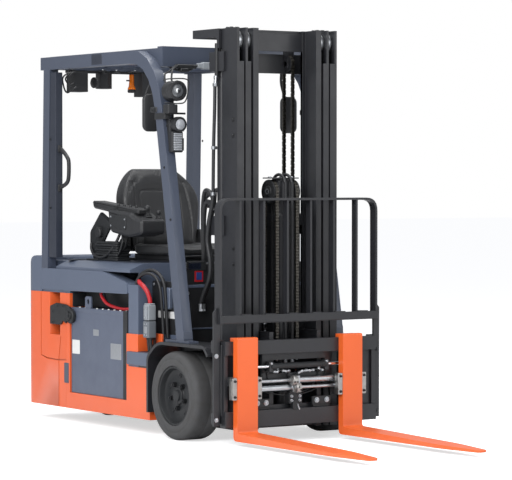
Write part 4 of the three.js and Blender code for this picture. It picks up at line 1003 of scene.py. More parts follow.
def bigBolt(place, axis, radius=11.0, high=9.2):
    # a round flanged head with a socket, on a thick washer
    return lathe([(0, radius * 1.3), (high * 0.26, radius * 1.3), (high * 0.33, radius * 1.22),
                  (high * 0.33, radius), (high * 0.87, radius * 0.96), (high, radius * 0.84),
                  (high, radius * 0.5), (high * 0.6, radius * 0.46)], place, axis, 28)


def shiftCylinder(d):
    # the side-shift cylinder between its lugs on the carriage, its rod and the rod's stays
    y, z, r = d["barrelY"], d["barrelZ"], d["barrelRadius"]
    left, right = d["barrel"]
    length = right - left
    barrel = lathe([(0, r - 4), (0, r - 0.5), (2, r), (26, r), (27, r - 2.5), (length - 27, r - 2.5),
                    (length - 26, r), (length - 2, r), (length, r - 0.5), (length, r - 4)], (left, y, z),
                    (1, 0, 0), 40)
    lugs = joined([block(x - 12, x + 12, y - 12, -357, z - 30, z + 24, 6, 1.5, "y")
                   for x in (left - 2, right + 2)])
    ports = joined([elbowFitting((x, y - 2, z - 24), (0, 0, 1), way, 6.5)
                    for x, way in ((left + 42, (-1, 0, -0.3)), (right - 42, (1, 0, -0.3)))])
    makePiece("shiftBarrel", [("castBlack", barrel), ("mastCoat", lugs), ("zincPlate", ports)], "carriage",
              "mast_paint", sharp=40)
    bolts = joined([bigBolt((x, y - 12, z + 14), (0, -1, 0), 5, 6) for x in (left - 2, right + 2)])
    makePiece("shiftLugBolts", [("zincPlate", bolts)], "carriage", "steel")
    rods = rodShape((-352, y, z), (318, y, z), 8.5, 28, 1)
    stays = joined([block(x - 9, x + 9, y - 12, y + 14, z - 22, 462, 4, 1.5, "y") for x in (-348, 312)])
    makePiece("shiftRod", [("hardChrome", rods), ("mastCoat", stays)], "side_shifter", "steel", sharp=40)


def bearingPlates(d):
    # bolted plates under the lower hooks, two big bolts in each
    plates, heads = [], []
    for a, b in d["plateBolts"]:
        plates.append(block(a - 26, b + 26, -391, -376, 184, 227, 7, 2, "y"))
        plates.append(block(a - 20, b + 20, -388, -362, 172, 196, 4, 2, "y"))
        heads += [bigBolt((x, -391, 207), (0, -1, 0)) for x in (a, b)]
    makePiece("bearingPlates", [("castBlack", joined(plates)), ("zincPlate", joined(heads))],
              "side_shifter", "dark_paint")


def positionerLines():
    # the positioner's valve block, its elbows and the hoses between them
    valve = joined([block(-76, 2, -398, -352, 196, 250, 6, 2, "y"),
                    block(-70, -30, -398, -360, 246, 262, 5, 2, "y"),
                    block(-60, -32, -408, -380, 166, 214, 5, 2, "y")])
    plugs = joined([bigBolt((x, -398, z0), (0, -1, 0), 6)
                    for x, z0 in ((-64, 234), (-64, 212), (-14, 234), (-14, 212))])
    makePiece("positionerValve", [("castBlack", valve), ("zincPlate", plugs)], "side_shifter", "dark_paint")
    spots = ((-146, -389, 361, (-1, 0, 0.1), (0.3, 0.3, 0.2)),
             (-92, -389, 362, (-1, 0, 0.2), (0.9, 0.2, 0)), (8, -389, 359, (1, 0, 0.1), (-0.9, 0.2, -0.3)),
             (54, -389, 360, (1, 0, 0.1), (-0.9, 0.1, 0.1)),
             (-8, -394, 262, (0.5, -0.1, 0.9), (-0.5, 0.2, -0.8)),
             (-26, -396, 188, (0.4, 0, -0.9), (-0.4, 0.2, 0.9)))
    fittings = [elbowFitting(s[:3], s[3], s[4], 6 if index < 4 else 5) for index, s in enumerate(spots)]
    makePiece("shifterFittings", [("zincPlate", joined(fittings))], "side_shifter", "steel")
    lines = [
        [(-172, -388, 362), (-198, -374, 363), (-214, -361, 357), (-226, -360.2, 340),
         (-230, -360.2, 300), (-206, -360.2, 262), (-140, -360.2, 246), (-70, -366, 236)],
        [(-118, -389, 367), (-158, -384, 372), (-178, -366, 365), (-187, -360.2, 354), (-185, -360.2, 332),
         (-172, -360.2, 312), (-120, -360.2, 280), (-66, -368, 244)],
        [(34, -389, 362), (92, -384, 368), (124, -368, 356), (124, -360.4, 334), (108, -360.2, 300),
         (60, -360.2, 262), (22, -360.2, 250), (-4, -366, 240)],
        [(80, -389, 363), (134, -384, 362), (164, -368, 354), (168, -360.4, 334), (150, -360.2, 284),
         (84, -360.2, 254), (24, -360.2, 240), (0, -366, 232)],
        [(-72, -384, 356), (-67, -366, 346), (-62, -360.2, 332), (-58, -360.2, 292), (-57, -360.2, 262),
         (-56, -366, 238)],
        [(-14, -384, 356), (-18, -366, 346), (-22, -360.2, 332), (-26, -360.2, 290), (-28, -360.2, 262),
         (-30, -366, 238)],
    ]
    hoses = joined([hose(line, 2.9, 56, 12) for line in lines])
    makePiece("shifterHoses", [("hoseRubber", hoses)], "side_shifter", "black_plastic", sharp=60)


def positionerCollars():
    # the positioner's own centre casting with two clamped collars
    collars = joined([lathe([(-13, 10), (-13, 24), (-11, 26), (11, 26), (13, 24), (13, 10)], (x, -413, z0),
                            (1, 0, 0), 28)
                      for x, z0 in ((-58, 315), (-38, 277))])
    cheeks = joined([block(-74, -46, -432, -395, 296, 322, 5, 2, "y"),
                     block(-52, -24, -432, -395, 260, 300, 5, 2, "y")])
    caps = joined([bigBolt((x, -432, z0), (0, -1, 0), 4.5)
                   for x, z0 in ((-67, 309), (-53, 309), (-44, 282), (-32, 268))])
    makePiece("positionerCollars", [("castAlloy", collars), ("castAlloy", cheeks), ("blackBolt", caps)],
              "side_shifter", "steel")


def backrestTrim(d):
    # a lip along the low rail, a gusset at the foot of every bar, the posts' bolts and side sheets
    lip = block(-488, 488, -389, -381, 616, 654, 1.5, 1, "y")
    gussets = [slab(roundedCorners([(x + 4, -386, 1), (x + 66, -386, 1), (x + 4, -338, 1)], 2), "z", 652,
                    658, 0.6)
               for x in d["uprights"]]
    makePiece("backrestLip", [("mastCoat", lip), ("mastCoat", joined(gussets))], "side_shifter",
              "mast_paint")
    for sideName, side in sides.items():
        bolts = joined([hexBolt((side * 497, -365, z), (0, -1, 0), 14, 8) for z in d["postBolts"]])
        makePiece(f"backrestBolts_{sideName}", [("zincPlate" if side < 0 else "blackBolt", bolts)],
                  "side_shifter", "steel")
        plate = block(*sorted((d["sheetInner"][sideName], side * 474)), -374, -366, 150, 508, 4, 1.5, "y")
        makePiece(f"backrestSheet_{sideName}", [("mastCoat", plate)], "side_shifter", "mast_paint")
    # dark blocks along the upper bar's top edge: painted shade for the bar's notches
    notches = [block(x - 6, x + 6, -400.5, -386, 508, 515, 2, 1) for x in np.arange(-400, 340, 74)]
    makePiece("barNotchShade", [("castBlack", joined(notches))], "side_shifter", "mast_paint")
    # a sheet behind the chains, taken as the guard that keeps the hoses apart, is also painted shade: its
    # black fills the mast's inside, which lies in shade
    sheets = [sideBlock(side, 84, 170, -133, -129, 560, 1236, 6, 1, "y") for side in (-1, 1)]
    sheets.append(block(-46, 46, -137, -133, 640, 1236, 6, 1, "y"))
    makePiece("hoseGuardShade", [("castBlack", joined(sheets))], "inner_mast", "mast_paint")


def forkTrim(d):
    # clamp plates on both faces of each fork
    for index, sideName in enumerate(("right", "left")):
        side = sides[sideName]
        outer, inner = d["forkOuter"][index], d["forkInner"][index]
        low, high = d["clampLow"], d["clampHigh"]
        plates = [block(*sorted((outer, outer + side * 27)), -438, -404, low, high, 4, 1.5, "y"),
                  block(*sorted((outer + side * 27, outer + side * 31)), -430, -410, low + 14, high - 14, 4,
                        1, "y"),
                  block(*sorted((inner, inner - side * 27)), -438, -404, low, high, 4, 1.5, "y")]
        heads = [bigBolt((x, -438, z), (0, -1, 0), 5.5) for x in (outer + side * 13, inner - side * 13)
                 for z in (low + 16, high - 16)]
        makePiece(f"forkClampPlates_{sideName}",
                  [("castAlloy", joined(plates)), ("blackBolt", joined(heads))], f"fork_{sideName}",
                  "steel")


shiftCylinder(shifterDetail)
bearingPlates(shifterDetail)
positionerLines()
positionerCollars()
backrestTrim(shifterDetail)
forkTrim(shifterDetail)


def paintFoot(mesh, height):
    # the foot of the positioner's middle casting is painted black, up to a height in metres
    mesh.materials.append(finish["castBlack"])
    centres = np.empty(len(mesh.polygons) * 3)
    mesh.polygons.foreach_get("center", centres)
    mesh.polygons.foreach_set("material_index", (centres.reshape(-1, 3)[:, 2] < height).astype(np.int32))


paintFoot(skins["positioner_cylinders"].data, 0.262)
print("carriage and side shifter are made")


batterySide = {
    "face": 490, "top": 634, "front": 524, "rear": 1119, "eyeY": 945, "eyeTop": 702, "eyeHalf": 31,
    "boltStep": 62, "labels": (("blankLabel", 1071, 421, 42, 38), ("foilLabel", 639, 418, 56, 42),
                               ("foilLabel", 852, 509, 30, 17)),
    "pivotY": 1104, "pivotZ": 588,
}
weightDetail = {
    "half": 498, "grooveWidth": 7, "grooveDepth": 9,
    "grooves": (((1249, 84), (1249, 339)), ((1249, 339), (1151, 345)),
                ((1249, 339), (1386, 343), (1452, 357), (1452, 470), (1452, 706)),
                ((1249, 339), (1249, 352), (1228, 470))),
}


def holedPlate(outline, hole, radius, axis, low, high, edge=1.0, count=56):
    # a plate with one round hole: rays from the hole's middle find the outline
    outline, hole = np.asarray(outline, float), np.asarray(hole, float)
    turn = np.arange(count) * 2 * np.pi / count
    ray = np.stack([np.cos(turn), np.sin(turn)], 1)
    a, b = outline - hole, np.roll(outline, -1, 0) - outline
    cross = ray[:, None, 0] * b[None, :, 1] - ray[:, None, 1] * b[None, :, 0]
    cross = np.where(np.abs(cross) < 1e-9, 1e-9, cross)
    reach = (a[None, :, 0] * b[None, :, 1] - a[None, :, 1] * b[None, :, 0]) / cross
    share = (a[None, :, 0] * ray[:, None, 1] - a[None, :, 1] * ray[:, None, 0]) / cross
    reach = np.where((share >= -1e-6) & (share <= 1 + 1e-6) & (reach > 0), reach, np.inf).min(1)
    rings = [(reach - edge, low), (reach, low + edge), (reach, high - edge), (reach - edge, high),
             (np.full(count, radius + edge), high), (np.full(count, radius), high - edge),
             (np.full(count, radius), low + edge), (np.full(count, radius + edge), low)]
    u, v, w = slabAxes[axis]
    points = np.zeros((len(rings), count, 3))
    for index, (distance, depth) in enumerate(rings):
        points[index, :, u] = hole[0] + ray[:, 0] * distance
        points[index, :, v] = hole[1] + ray[:, 1] * distance
        points[index, :, w] = depth
    return points.reshape(-1, 3), [gridFaces(len(rings), count, True, True)]


def batteryTrim(side, d):
    face, top = d["face"], d["top"]
    eye = roundedCorners([(d["eyeY"] - d["eyeHalf"], top - 30, 2), (d["eyeY"] + d["eyeHalf"], top - 30, 2),
                          (d["eyeY"] + d["eyeHalf"], d["eyeTop"], 16),
                          (d["eyeY"] - d["eyeHalf"], d["eyeTop"], 16)], 6)
    eyePlate = holedPlate(eye, (d["eyeY"], d["eyeTop"] - 30), 14, "x",
                          *sorted((side * (face - 14), side * (face - 3))))
    places = [(side * (face - 12), y, top - 0.5)
              for y in np.arange(d["front"] + 26, d["rear"] - 20, d["boltStep"])]
    cap = lathe([(0, 8.5), (1.5, 8.5), (2, 6.5), (6, 6), (7.5, 4)], (0, 0, 0), (0, 0, 1), 16)
    lip = [sideBlock(side, face - 28, face - 1, d["front"], d["rear"], top, top + 2.6, 1.5, 0.8),
           sideBlock(side, face - 3, face + 1.2, d["front"], d["rear"], top - 20, top + 2.6, 0.8, 0.6, "y")]
    seams = [sideBlock(side, face - 2, face + 1.0, y - 2, y + 2, 172, top - 20, 0.8, 0.4)
             for y in (d["front"] + 7, d["rear"] - 7)]
    buffer = sideBlock(side, face - 4, face + 1.8, d["front"] - 5, d["front"] + 38, 166, top + 6, 2, 0.8,
                       "x")
    return [("castBlack", buffer), ("batteryCoat", eyePlate), ("nylonCap", copies(cap, places)),
            ("batteryCoat", joined(lip + seams))]


def batteryLabels(side, d):
    parts = []
    for finishName, y, z, halfWide, halfHigh in d["labels"]:
        outline = roundedRectangle(y - halfWide, y + halfWide, z - halfHigh, z + halfHigh, 4)
        parts.append((finishName,
                      slab(outline, "x", *sorted((side * (d["face"] - 0.5), side * (d["face"] + 0.7))),
                           0.2)))
    return parts


def stopperTrim(side, d):
    # the retainer's pivot with its bolt, and the rivets of its plate
    centre = (side * 496, d["pivotY"], d["pivotZ"])
    boss = lathe([(0, 40), (15, 40), (18, 37), (18, 27), (15, 25), (15, 19), (23, 17), (25, 14)], centre,
                 (side, 0, 0), 44)
    bolt = hexBolt((side * 520, d["pivotY"], d["pivotZ"]), (side, 0, 0), 15, 6)
    rivets = [lathe([(0, 6), (2, 5.4), (3, 3)], (side * 515.8, y, z), (side, 0, 0), 14)
              for y, z in ((1292, 608), (1292, 548), (1180, 640), (1240, 640))]
    return [("castBlack", boss), ("blackBolt", bolt), ("castBlack", joined(rivets))]


def stepTrim(side):
    # the grey step ahead of the battery bay and the orange cheek above it
    step = sideBlock(side, 431, 500.6, 259, 515, 357, 431, 10, 5, "x")
    cheek = sideBlock(side, 430, 499.6, 398, 515, 430, 523, 5, 2, "x")
    grip = [sideBlock(side, a, a + 9, 274, 500, 430.5, 433, 1.2, 0.6) for a in (438, 454, 470)]
    return [("greyPowderCoat", step), ("orangeEnamel", cheek), ("castBlack", joined(grip))]


bothSides("batteryTrim", lambda side: batteryTrim(side, batterySide), "chassis", "grey_paint")
bothSides("batteryLabels", lambda side: batteryLabels(side, batterySide), "chassis", "grey_paint")
bothSides("stopperTrim", lambda side: stopperTrim(side, batterySide), "chassis", "dark_paint")
bothSides("stepTrim", stepTrim, "chassis", "grey_paint")


def cutWith(piece, shapes):
    # takes the shapes away from a piece for good, before its edges are rounded
    shape = joined(shapes)
    mesh = bpy.data.meshes.new("cutter")
    mesh.from_pydata(toFrame(shape[0]).tolist(), [],
                     [face for group in shape[1] for face in group.tolist()])
    cutter = bpy.data.objects.new("cutter", mesh)
    scene.collection.objects.link(cutter)
    bevels = [m for m in piece.modifiers if m.type == "BEVEL"]
    for bevel in bevels:
        bevel.show_viewport = False
    less = piece.modifiers.new("cut", "BOOLEAN")
    less.operation = "DIFFERENCE"
    less.solver = "EXACT"
    less.use_self = True
    less.object = cutter
    bpy.context.view_layer.update()
    result = bpy.data.meshes.new_from_object(piece.evaluated_get(bpy.context.evaluated_depsgraph_get()))
    piece.modifiers.remove(less)
    for bevel in bevels:
        bevel.show_viewport = True
    piece.data = result
    bpy.data.objects.remove(cutter)


def weightGrooves(d):
    # casting seams on both flanks: boxes along each line of the drawing
    shapes = []
    for side in (-1, 1):
        for line in d["grooves"]:
            points = np.array([(side * (d["half"] + 2), y, z) for y, z in line], float)
            reach = d["grooveDepth"] + 2
            profile = np.array([[-1, -1], [1, -1], [1, 1], [-1, 1]]) * [d["grooveWidth"] / 2, reach]
            shapes.append(sweep(points, profile, (side, 0, 0)))
    return shapes


for groove in weightGrooves(weightDetail):
    cutWith(skins["counterweight"], [groove])
print("battery side and counterweight are trimmed")


plug = {"x": -462, "y": 338, "halfX": 24, "halfY": 27, "top": (600, 679), "low": (508, 594)}


def connectorParts(p):
    # two halves of a two-pole plug: housings with ribs, a grip, screws and a blank face
    x, y = p["x"], p["y"]
    upper = block(x - p["halfX"], x + p["halfX"], y - p["halfY"], y + p["halfY"], *p["top"], 6, 3)
    lower = block(x - p["halfX"] - 1, x + p["halfX"] + 1, y - p["halfY"] - 1, y + p["halfY"] + 1, *p["low"],
                  6, 3)
    ribs = [block(x - p["halfX"] - 3, x - p["halfX"] + 1, y + d - 2.5, y + d + 2.5, p["low"][0] + 8,
                  p["low"][1] - 8, 1.5, 0.8)
            for d in (-20, 20)]
    ribs += [block(x - p["halfX"] - 2.4, x - p["halfX"] + 1, y + d - 2.5, y + d + 2.5, p["top"][0] + 6,
                   p["top"][1] - 6, 1.5, 0.8)
             for d in (-19, 19)]
    seat = block(x - 20, x + 20, y - 23, y + 23, p["low"][1] - 2, p["top"][0] + 2, 4, 1)
    cap = block(x - 21, x + 21, y - 24, y + 24, p["top"][1] - 1, p["top"][1] + 9, 6, 3)
    screws = [bigBolt((x - p["halfX"] - 0.5, y + d, z), (-1, 0, 0), 3.6, 3) for d in (-11, 11)
              for z in (612, 664, 522, 580)]
    sockets = [lathe([(0, 10), (3, 11.5), (13, 11.5), (14, 9.5)], (x, y + d, p["low"][0] - 12), (0, 0, 1),
                     20) for d in (-12, 12)]
    face = slab(roundedRectangle(y - 14, y + 14, 530, 566, 3), "x", x - p["halfX"] - 1.8,
                x - p["halfX"] - 0.6, 0.3)
    hanger = [block(x + 10, x + 40, y - 12, y + 12, 436, 470, 4, 1.5),
              block(x + 24, x + 36, y - 10, y + 10, 434, 640, 4, 1.5)]
    return [("connectorPlastic", joined([upper, cap])), ("connectorGrey", joined([lower] + ribs)),
            ("castBlack", seat), ("zincPlate", joined(screws)), ("castBlack", joined(sockets + hanger)),
            ("foilLabel", face)]


connector = makePiece("batteryPlug", connectorParts(plug), "chassis", "connector_grey")
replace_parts(connector, "battery_connector")
cable("batteryLead_red", "redSheath", [(-458, 338, 688), (-460, 340, 712), (-468, 352, 748),
                                       (-474, 384, 778),
      (-472, 420, 792), (-458, 450, 800)], 12, "chassis")
tails = [hose([(-462, 338 + dy, 497), (-462, 338 + dy, 480), (-460, 337 + dy, 462), (-458, 336 + dy, 434)],
              8.5, 24)
         for dy in (-12, 12)]
makePiece("plugTails", [("hoseRubber", joined(tails))], "chassis", "black_plastic", sharp=60)
# the battery's own leads droop below the beam
cable("cellLead_red", "redSheath", [(-458, 852, 722), (-458, 838, 700), (-457, 790, 668), (-456, 700, 650),
                                    (-456, 610, 645),
      (-454, 540, 650)], 9, "chassis")
cable("cellLead_black", "hoseRubber", [(-446, 846, 722), (-446, 830, 690), (-446, 786, 660),
                                       (-446, 700, 643),
      (-446, 610, 641), (-444, 540, 645)], 9, "chassis")
# leads that cross from the cowl's foot to the hood
cable("deckLead_0", "hoseRubber", [(-446, 492, 790), (-440, 488, 812), (-426, 470, 840), (-404, 424, 858),
                                   (-388, 366, 838),
      (-380, 326, 786), (-378, 312, 700), (-376, 306, 600), (-374, 300, 506)], 10, "chassis")
cable("deckLead_1", "hoseRubber", [(-466, 470, 784), (-460, 466, 806), (-448, 446, 830), (-430, 404, 842),
                                   (-414, 356, 822),
      (-406, 326, 770), (-403, 314, 690), (-401, 306, 600), (-400, 298, 506)], 8, "chassis")


def bayTrim():
    # dark sheets behind the battery, painted shade for the gap above it, and the cover of the cowl's side
    # with its bolts and blank plate
    # painted shade: black sheets darken the gap above the battery
    gapShade = [sideBlock(side, 398, 402, 520, 1116, 640, 722, 3, 1, "x") for side in (-1, 1)]
    gapShade.append(block(-486, 486, 1113, 1116, 640, 716, 3, 1, "y"))
    makePiece("batteryGapShade", [("castBlack", joined(gapShade))], "chassis", "dark_paint")
    cheeks = joined([sideBlock(side, 404, 416, 292, 472, 440, 527, 6, 2, "x") for side in (-1, 1)])
    makePiece("plugCheek", [("orangeEnamel", cheeks)], "chassis", "orange_paint")
    innerPlate = block(-358, -352, 232, 452, 466, 521, 4, 1.5, "x")
    makePiece("innerPlate", [("greyPowderCoat", innerPlate)], "chassis", "grey_paint")
    inserts = joined([sideBlock(side, 490, 500.6, 1138, 1187, 217, 328, 5, 1.5, "x") for side in (-1, 1)])
    makePiece("weightInserts", [("darkerBodyGrey", inserts)], "chassis", "dark_paint")
    # a dark plate over the hood's top, under the seat, so that the top is darker than the hood's sides
    mat = [block(-352, 352, 575, 1272, 889, 893.5, 12, 1.5), block(-436, 436, 1212, 1276, 889, 896, 10, 2)]
    makePiece("hoodDarkTop", [("darkBlueGrey", joined(mat))], "hood", "dark_paint")
    cover = block(-352, -346, 222, 494, 492, 800, 14, 2, "x")
    door = block(-374, -350, 284, 380, 655, 768, 10, 4, "x")
    bolts = joined([hexBolt((-352, y, z), (-1, 0, 0), 9, 4) for y in (240, 476) for z in (512, 780)])
    plate = slab(roundedRectangle(262, 430, 606, 643, 4), "x", -353.4, -351.6, 0.2)
    makePiece("cowlSideCover", [("mouldedPlastic", cover), ("greyPowderCoat", door), ("zincPlate", bolts),
                                ("blankLabel", plate)], "chassis", "black_plastic")


bayTrim()
print("battery plug and leads are made")


seatShape = {
    "halfWidth": 247, "cushionRear": 952, "cushionFront": 466, "base": 931, "cushionTop": 984,
    "backLow": 940, "backHigh": 1402, "backFoot": 992, "backLean": 84, "backDepth": 74, "wing": 44,
    "voxel": 6, "pressure": 2.0, "cap": 4, "grooveDepth": 5.5, "grooveWidth": 4.5,
}


def smoothStep(value, low, high):
    s = np.clip((value - low) / (high - low), 0, 1)
    return s * s * (3 - 2 * s)


def roundedLoop(count, power):
    # a squared circle: cosine and sine raised to a power under one
    turn = np.arange(count) * 2 * np.pi / count
    c, s = np.cos(turn), np.sin(turn)
    return np.sign(c) * np.abs(c) ** power, np.sign(s) * np.abs(s) ** power


def backShape(d):
    # stacked loops from the seat up: the width grows to the shoulders, then falls to a flat top;
    # the wings come forward at the sides
    rows, count = 72, 96
    t = np.linspace(0, 1, rows)[:, None]
    v = 1 - (1 - t) ** 1.8
    z = d["backLow"] + (d["backHigh"] - d["backLow"]) * v
    arch = np.clip((v - 0.56) / 0.44, 0, 1)
    half = d["halfWidth"] * (0.83 + 0.17 * smoothStep(v, 0, 0.6)) * (1 - 0.46 * arch ** 2.2)
    crown = smoothStep(v, 0.6, 1.0)
    depth = d["backDepth"] * np.sqrt(np.maximum(1 - arch ** 6, 0.02)) * (0.5 + 0.5 * smoothStep(v, 0, 0.05))
    across, along = roundedLoop(count, 0.62)
    x = half * across
    lean = d["backFoot"] + d["backLean"] * v ** 1.1
    side = np.abs(x) / d["halfWidth"]
    wing = d["wing"] * smoothStep(side, 0.50, 0.92) * (1 - 0.5 * crown)
    lumbar = 16 * np.exp(-((v - 0.22) / 0.2) ** 2) * (1 - side)
    y = lean + depth * along * np.where(along > 0, 1.0, 0.7) - np.where(along < 0, wing + lumbar,
        0.2 * wing)
    points = np.stack([x, y, z + 0 * x], -1).reshape(-1, 3)
    ends = [np.arange(count)[None], (np.arange(count) + (rows - 1) * count)[None]]
    return points, [gridFaces(rows, count, False, True)] + ends


def cushionShape(d):
    # stacked loops from the base up: crowned middle, raised side rolls and a rounded front edge
    rows, count = 26, 120
    v = np.linspace(0, 1, rows)[:, None]
    across, along = roundedLoop(count, 0.50)
    inset = 26 * (1 - np.sqrt(np.clip(1 - (2 * v - 1) ** 4, 0, 1))) + 150 * smoothStep(v, 0.9, 1.0)
    middleY, halfY = (d["cushionFront"] + d["cushionRear"]) / 2, (d["cushionRear"] - d["cushionFront"]) / 2
    x = (d["halfWidth"] + 3 - inset) * across
    y = middleY + (halfY - inset) * along
    side = np.abs(x) / d["halfWidth"]
    height = d["cushionTop"] - d["base"] - 10
    roll = 12 * smoothStep(side, 0.45, 0.80) + 4 * smoothStep(y, 860, 940) - 7 * smoothStep(-y, -560, -480)
    z = d["base"] + height * v + roll * smoothStep(v, 0.35, 0.95)
    points = np.stack([x, y, z + 0 * x], -1).reshape(-1, 3)
    ends = [np.arange(count)[None], (np.arange(count) + (rows - 1) * count)[None]]
    return points, [gridFaces(rows, count, False, True)] + ends


def meshPoints(mesh):
    flat = np.empty(len(mesh.vertices) * 3)
    mesh.vertices.foreach_get("co", flat)
    return flat.reshape(-1, 3)


def plumped(piece, d):
    # remeshed evenly, filled by cloth pressure and held near the cut shape
    remesh = piece.modifiers.new("even", "REMESH")
    remesh.mode = "VOXEL"
    remesh.voxel_size = d["voxel"] / 1000
    bpy.context.view_layer.update()
    even = bpy.data.meshes.new_from_object(piece.evaluated_get(bpy.context.evaluated_depsgraph_get()))
    piece.modifiers.remove(remesh)
    materials = list(piece.data.materials)
    piece.data = even
    even.materials.clear()
    for material in materials:
        even.materials.append(material)
    before = meshPoints(even)
    cloth = piece.modifiers.new("cloth", "CLOTH")
    cloth.settings.use_pressure = True
    cloth.settings.uniform_pressure_force = d["pressure"]
    cloth.settings.quality = 5
    cloth.settings.effector_weights.gravity = 0
    cloth.point_cache.frame_end = 20
    for number in range(1, 21):
        scene.frame_set(number)
    filled = bpy.data.meshes.new_from_object(piece.evaluated_get(bpy.context.evaluated_depsgraph_get()))
    after = meshPoints(filled)
    piece.modifiers.remove(cloth)
    scene.frame_set(1)
    shift = after - before
    size = np.linalg.norm(shift, axis=1)[:, None]
    shift *= np.minimum(1, d["cap"] / 1000 / np.maximum(size, 1e-9))
    even.vertices.foreach_set("co", (before + shift).ravel())


def boxDistance(u, v, u0, u1, v0, v1, radius):
    # distance to the outline of a rectangle with round corners, in its plane
    du = np.abs(u - (u0 + u1) / 2) - (u1 - u0) / 2 + radius
    dv = np.abs(v - (v0 + v1) / 2) - (v1 - v0) / 2 + radius
    outside = np.hypot(np.maximum(du, 0), np.maximum(dv, 0)) + np.minimum(np.maximum(du, dv), 0) - radius
    return np.abs(outside)


def seamed(piece, d, distanceOf, inwards):
    # sewn seams: points near a seam sink, by a bell curve of their distance from it
    mesh = piece.data
    points = meshPoints(mesh)
    place = (points - np.array([0, axleY, 0])) * 1000
    normals = np.empty(len(points) * 3)
    mesh.vertices.foreach_get("normal", normals)
    normals = normals.reshape(-1, 3)
    near = distanceOf(place)
    facing = np.clip(normals @ np.asarray(inwards, float), 0, 1)
    sink = d["grooveDepth"] * np.exp(-(near / d["grooveWidth"]) ** 2) * smoothStep(facing, 0.15, 0.5)
    pillow = 3.0 * (1 - np.exp(-(near / 26) ** 2)) * smoothStep(facing, 0.15, 0.5)
    points += normals * ((pillow - 3.0 - sink) / 1000)[:, None]
    mesh.vertices.foreach_set("co", points.ravel())
    mesh.update()


def backSeams(place):
    x, z = place[:, 0], place[:, 2]
    panel = boxDistance(x, z, -128, 128, 900, 1278, 26)
    wings = np.abs(np.abs(x) - 168 - 10 * np.sin((z - 940) / 90))
    wings = np.where(z < 1330, wings, 99)
    band = np.where(np.abs(x) < 128, np.abs(z - 1075), 99)
    return np.minimum(np.minimum(panel, wings), band)


def cushionSeams(place):
    x, y = place[:, 0], place[:, 1]
    panel = boxDistance(x, y, -150, 150, 520, 1000, 40)
    band = np.where(np.abs(x) < 150, np.minimum(np.abs(y - 640), np.abs(y - 760)), 99)
    return np.minimum(panel, band)


def upholstered(name, shape, node, distanceOf, inwards, d):
    piece = makePiece(name, [("seatVinyl", shape)], None, "vinyl", sharp=180, ridden=False)
    plumped(piece, d)
    seamed(piece, d, distanceOf, inwards)
    piece.data.polygons.foreach_set("use_smooth", [True] * len(piece.data.polygons))
    smooth = piece.modifiers.new("soft", "SUBSURF")
    smooth.levels = smooth.render_levels = 1
    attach(piece, "hood")
    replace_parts(piece, node)


def seatTrim():
    # slide rails, the slide's lever, recliner knob and hinges, the belt's stalk and buckle
    rails = [sideBlock(side, 158, 196, 520, 930, 905, 931, 3, 2, "y") for side in (-1, 1)]
    levers = [hose([(side * 205, 470, 922), (side * 205, 440, 925), (side * 120, 436, 926), (0, 436, 926)],
                   5, 20, 10)
              for side in (-1, 1)]
    knob = lathe([(0, 24), (4, 30), (20, 30), (24, 26), (24, 10)], (-242, 960, 985), (-1, 0, 0), 36)
    stalk = hose([(236, 900, 926), (250, 930, 960), (256, 946, 1000)], 7, 14, 10)
    hinge = [sideBlock(side, 226, 240, 925, 1010, 935, 1060, 20, 4, "x") for side in (-1, 1)]
    buckle = block(243, 271, 930, 968, 986, 1024, 6, 4, "x")
    press = block(247, 267, 926, 952, 1018, 1034, 4, 2, "x")
    return [("mouldedPlastic", joined(rails + levers + hinge)), ("mouldedPlastic", knob),
            ("mouldedPlastic", stalk), ("mouldedPlastic", buckle), ("buckleRed", press),
            ("buckleRed", block(241, 273, 934, 974, 1002, 1022, 5, 3, "x"))]


upholstered("seatBackPad", backShape(seatShape), "seat_back", backSeams, (0, -1, 0), seatShape)
upholstered("seatPad", cushionShape(seatShape), "seat_cushion", cushionSeams, (0, 0, 1), seatShape)
makePiece("seatTrim", seatTrim(), "hood", "black_plastic", sharp=40)
print("seat is upholstered")


armShape = {"x": -300, "padHalf": 42, "podOuter": -376, "podInner": -218}


def armrestParts(d):
    x = d["x"]
    outline = roundedCorners([(1152, 1221, 14), (1138, 1178, 10), (905, 1152, 20), (660, 1146, 14),
                              (655, 1176, 10), (930, 1200, 60)], 5)
    pad = slab(outline, "x", x - d["padHalf"], x + d["padHalf"], 9)
    outline = roundedCorners([(925, 1172, 14), (700, 1158, 18), (640, 1128, 10), (566, 1120, 16),
                              (566, 1046, 22), (700, 1026, 30), (905, 1052, 26)], 5)
    pod = slab(outline, "x", d["podOuter"], d["podInner"], 12)
    outline = roundedCorners([(900, 1150, 10), (720, 1136, 10), (720, 1066, 14), (890, 1074, 14)], 5)
    recess = slab(outline, "x", d["podOuter"] - 3, d["podOuter"] + 6, 2)
    outline = roundedCorners([(1092, 1158, 8), (968, 1104, 8), (1086, 972, 14), (1084, 893, 4),
                              (1168, 893, 4), (1208, 966, 20), (1208, 1048, 16)], 4)
    bracket = slab(outline, "x", x - 22, x - 6, 2.5)
    stiffener = slab(outline * [0.93, 0.93] + [78, 74], "x", x - 26, x - 2, 2)
    knob = lathe([(0, 24), (3, 30), (24, 30), (29, 25), (30, 12)], (x - 22, 1080, 1046), (-1, 0, 0), 36)
    foot = block(x - 60, x + 30, 1060, 1190, 891, 899, 8, 2)
    return [("seatVinyl", pad), ("mouldedPlastic", pod), ("castBlack", recess), ("castBlack", bracket),
            ("castBlack", stiffener), ("mouldedPlastic", knob), ("castBlack", foot)]


def bellowsParts():
    # the suspension's cover beside the seat
    folds = [block(-352 + k % 2 * 6, -252 - k % 2 * 6, 872 + k % 2 * 5, 1112 - k % 2 * 5, 893 + 13 * k,
                   906 + 13 * k, 16, 3)
             for k in range(8)]
    return [("castBlack", joined(folds))]


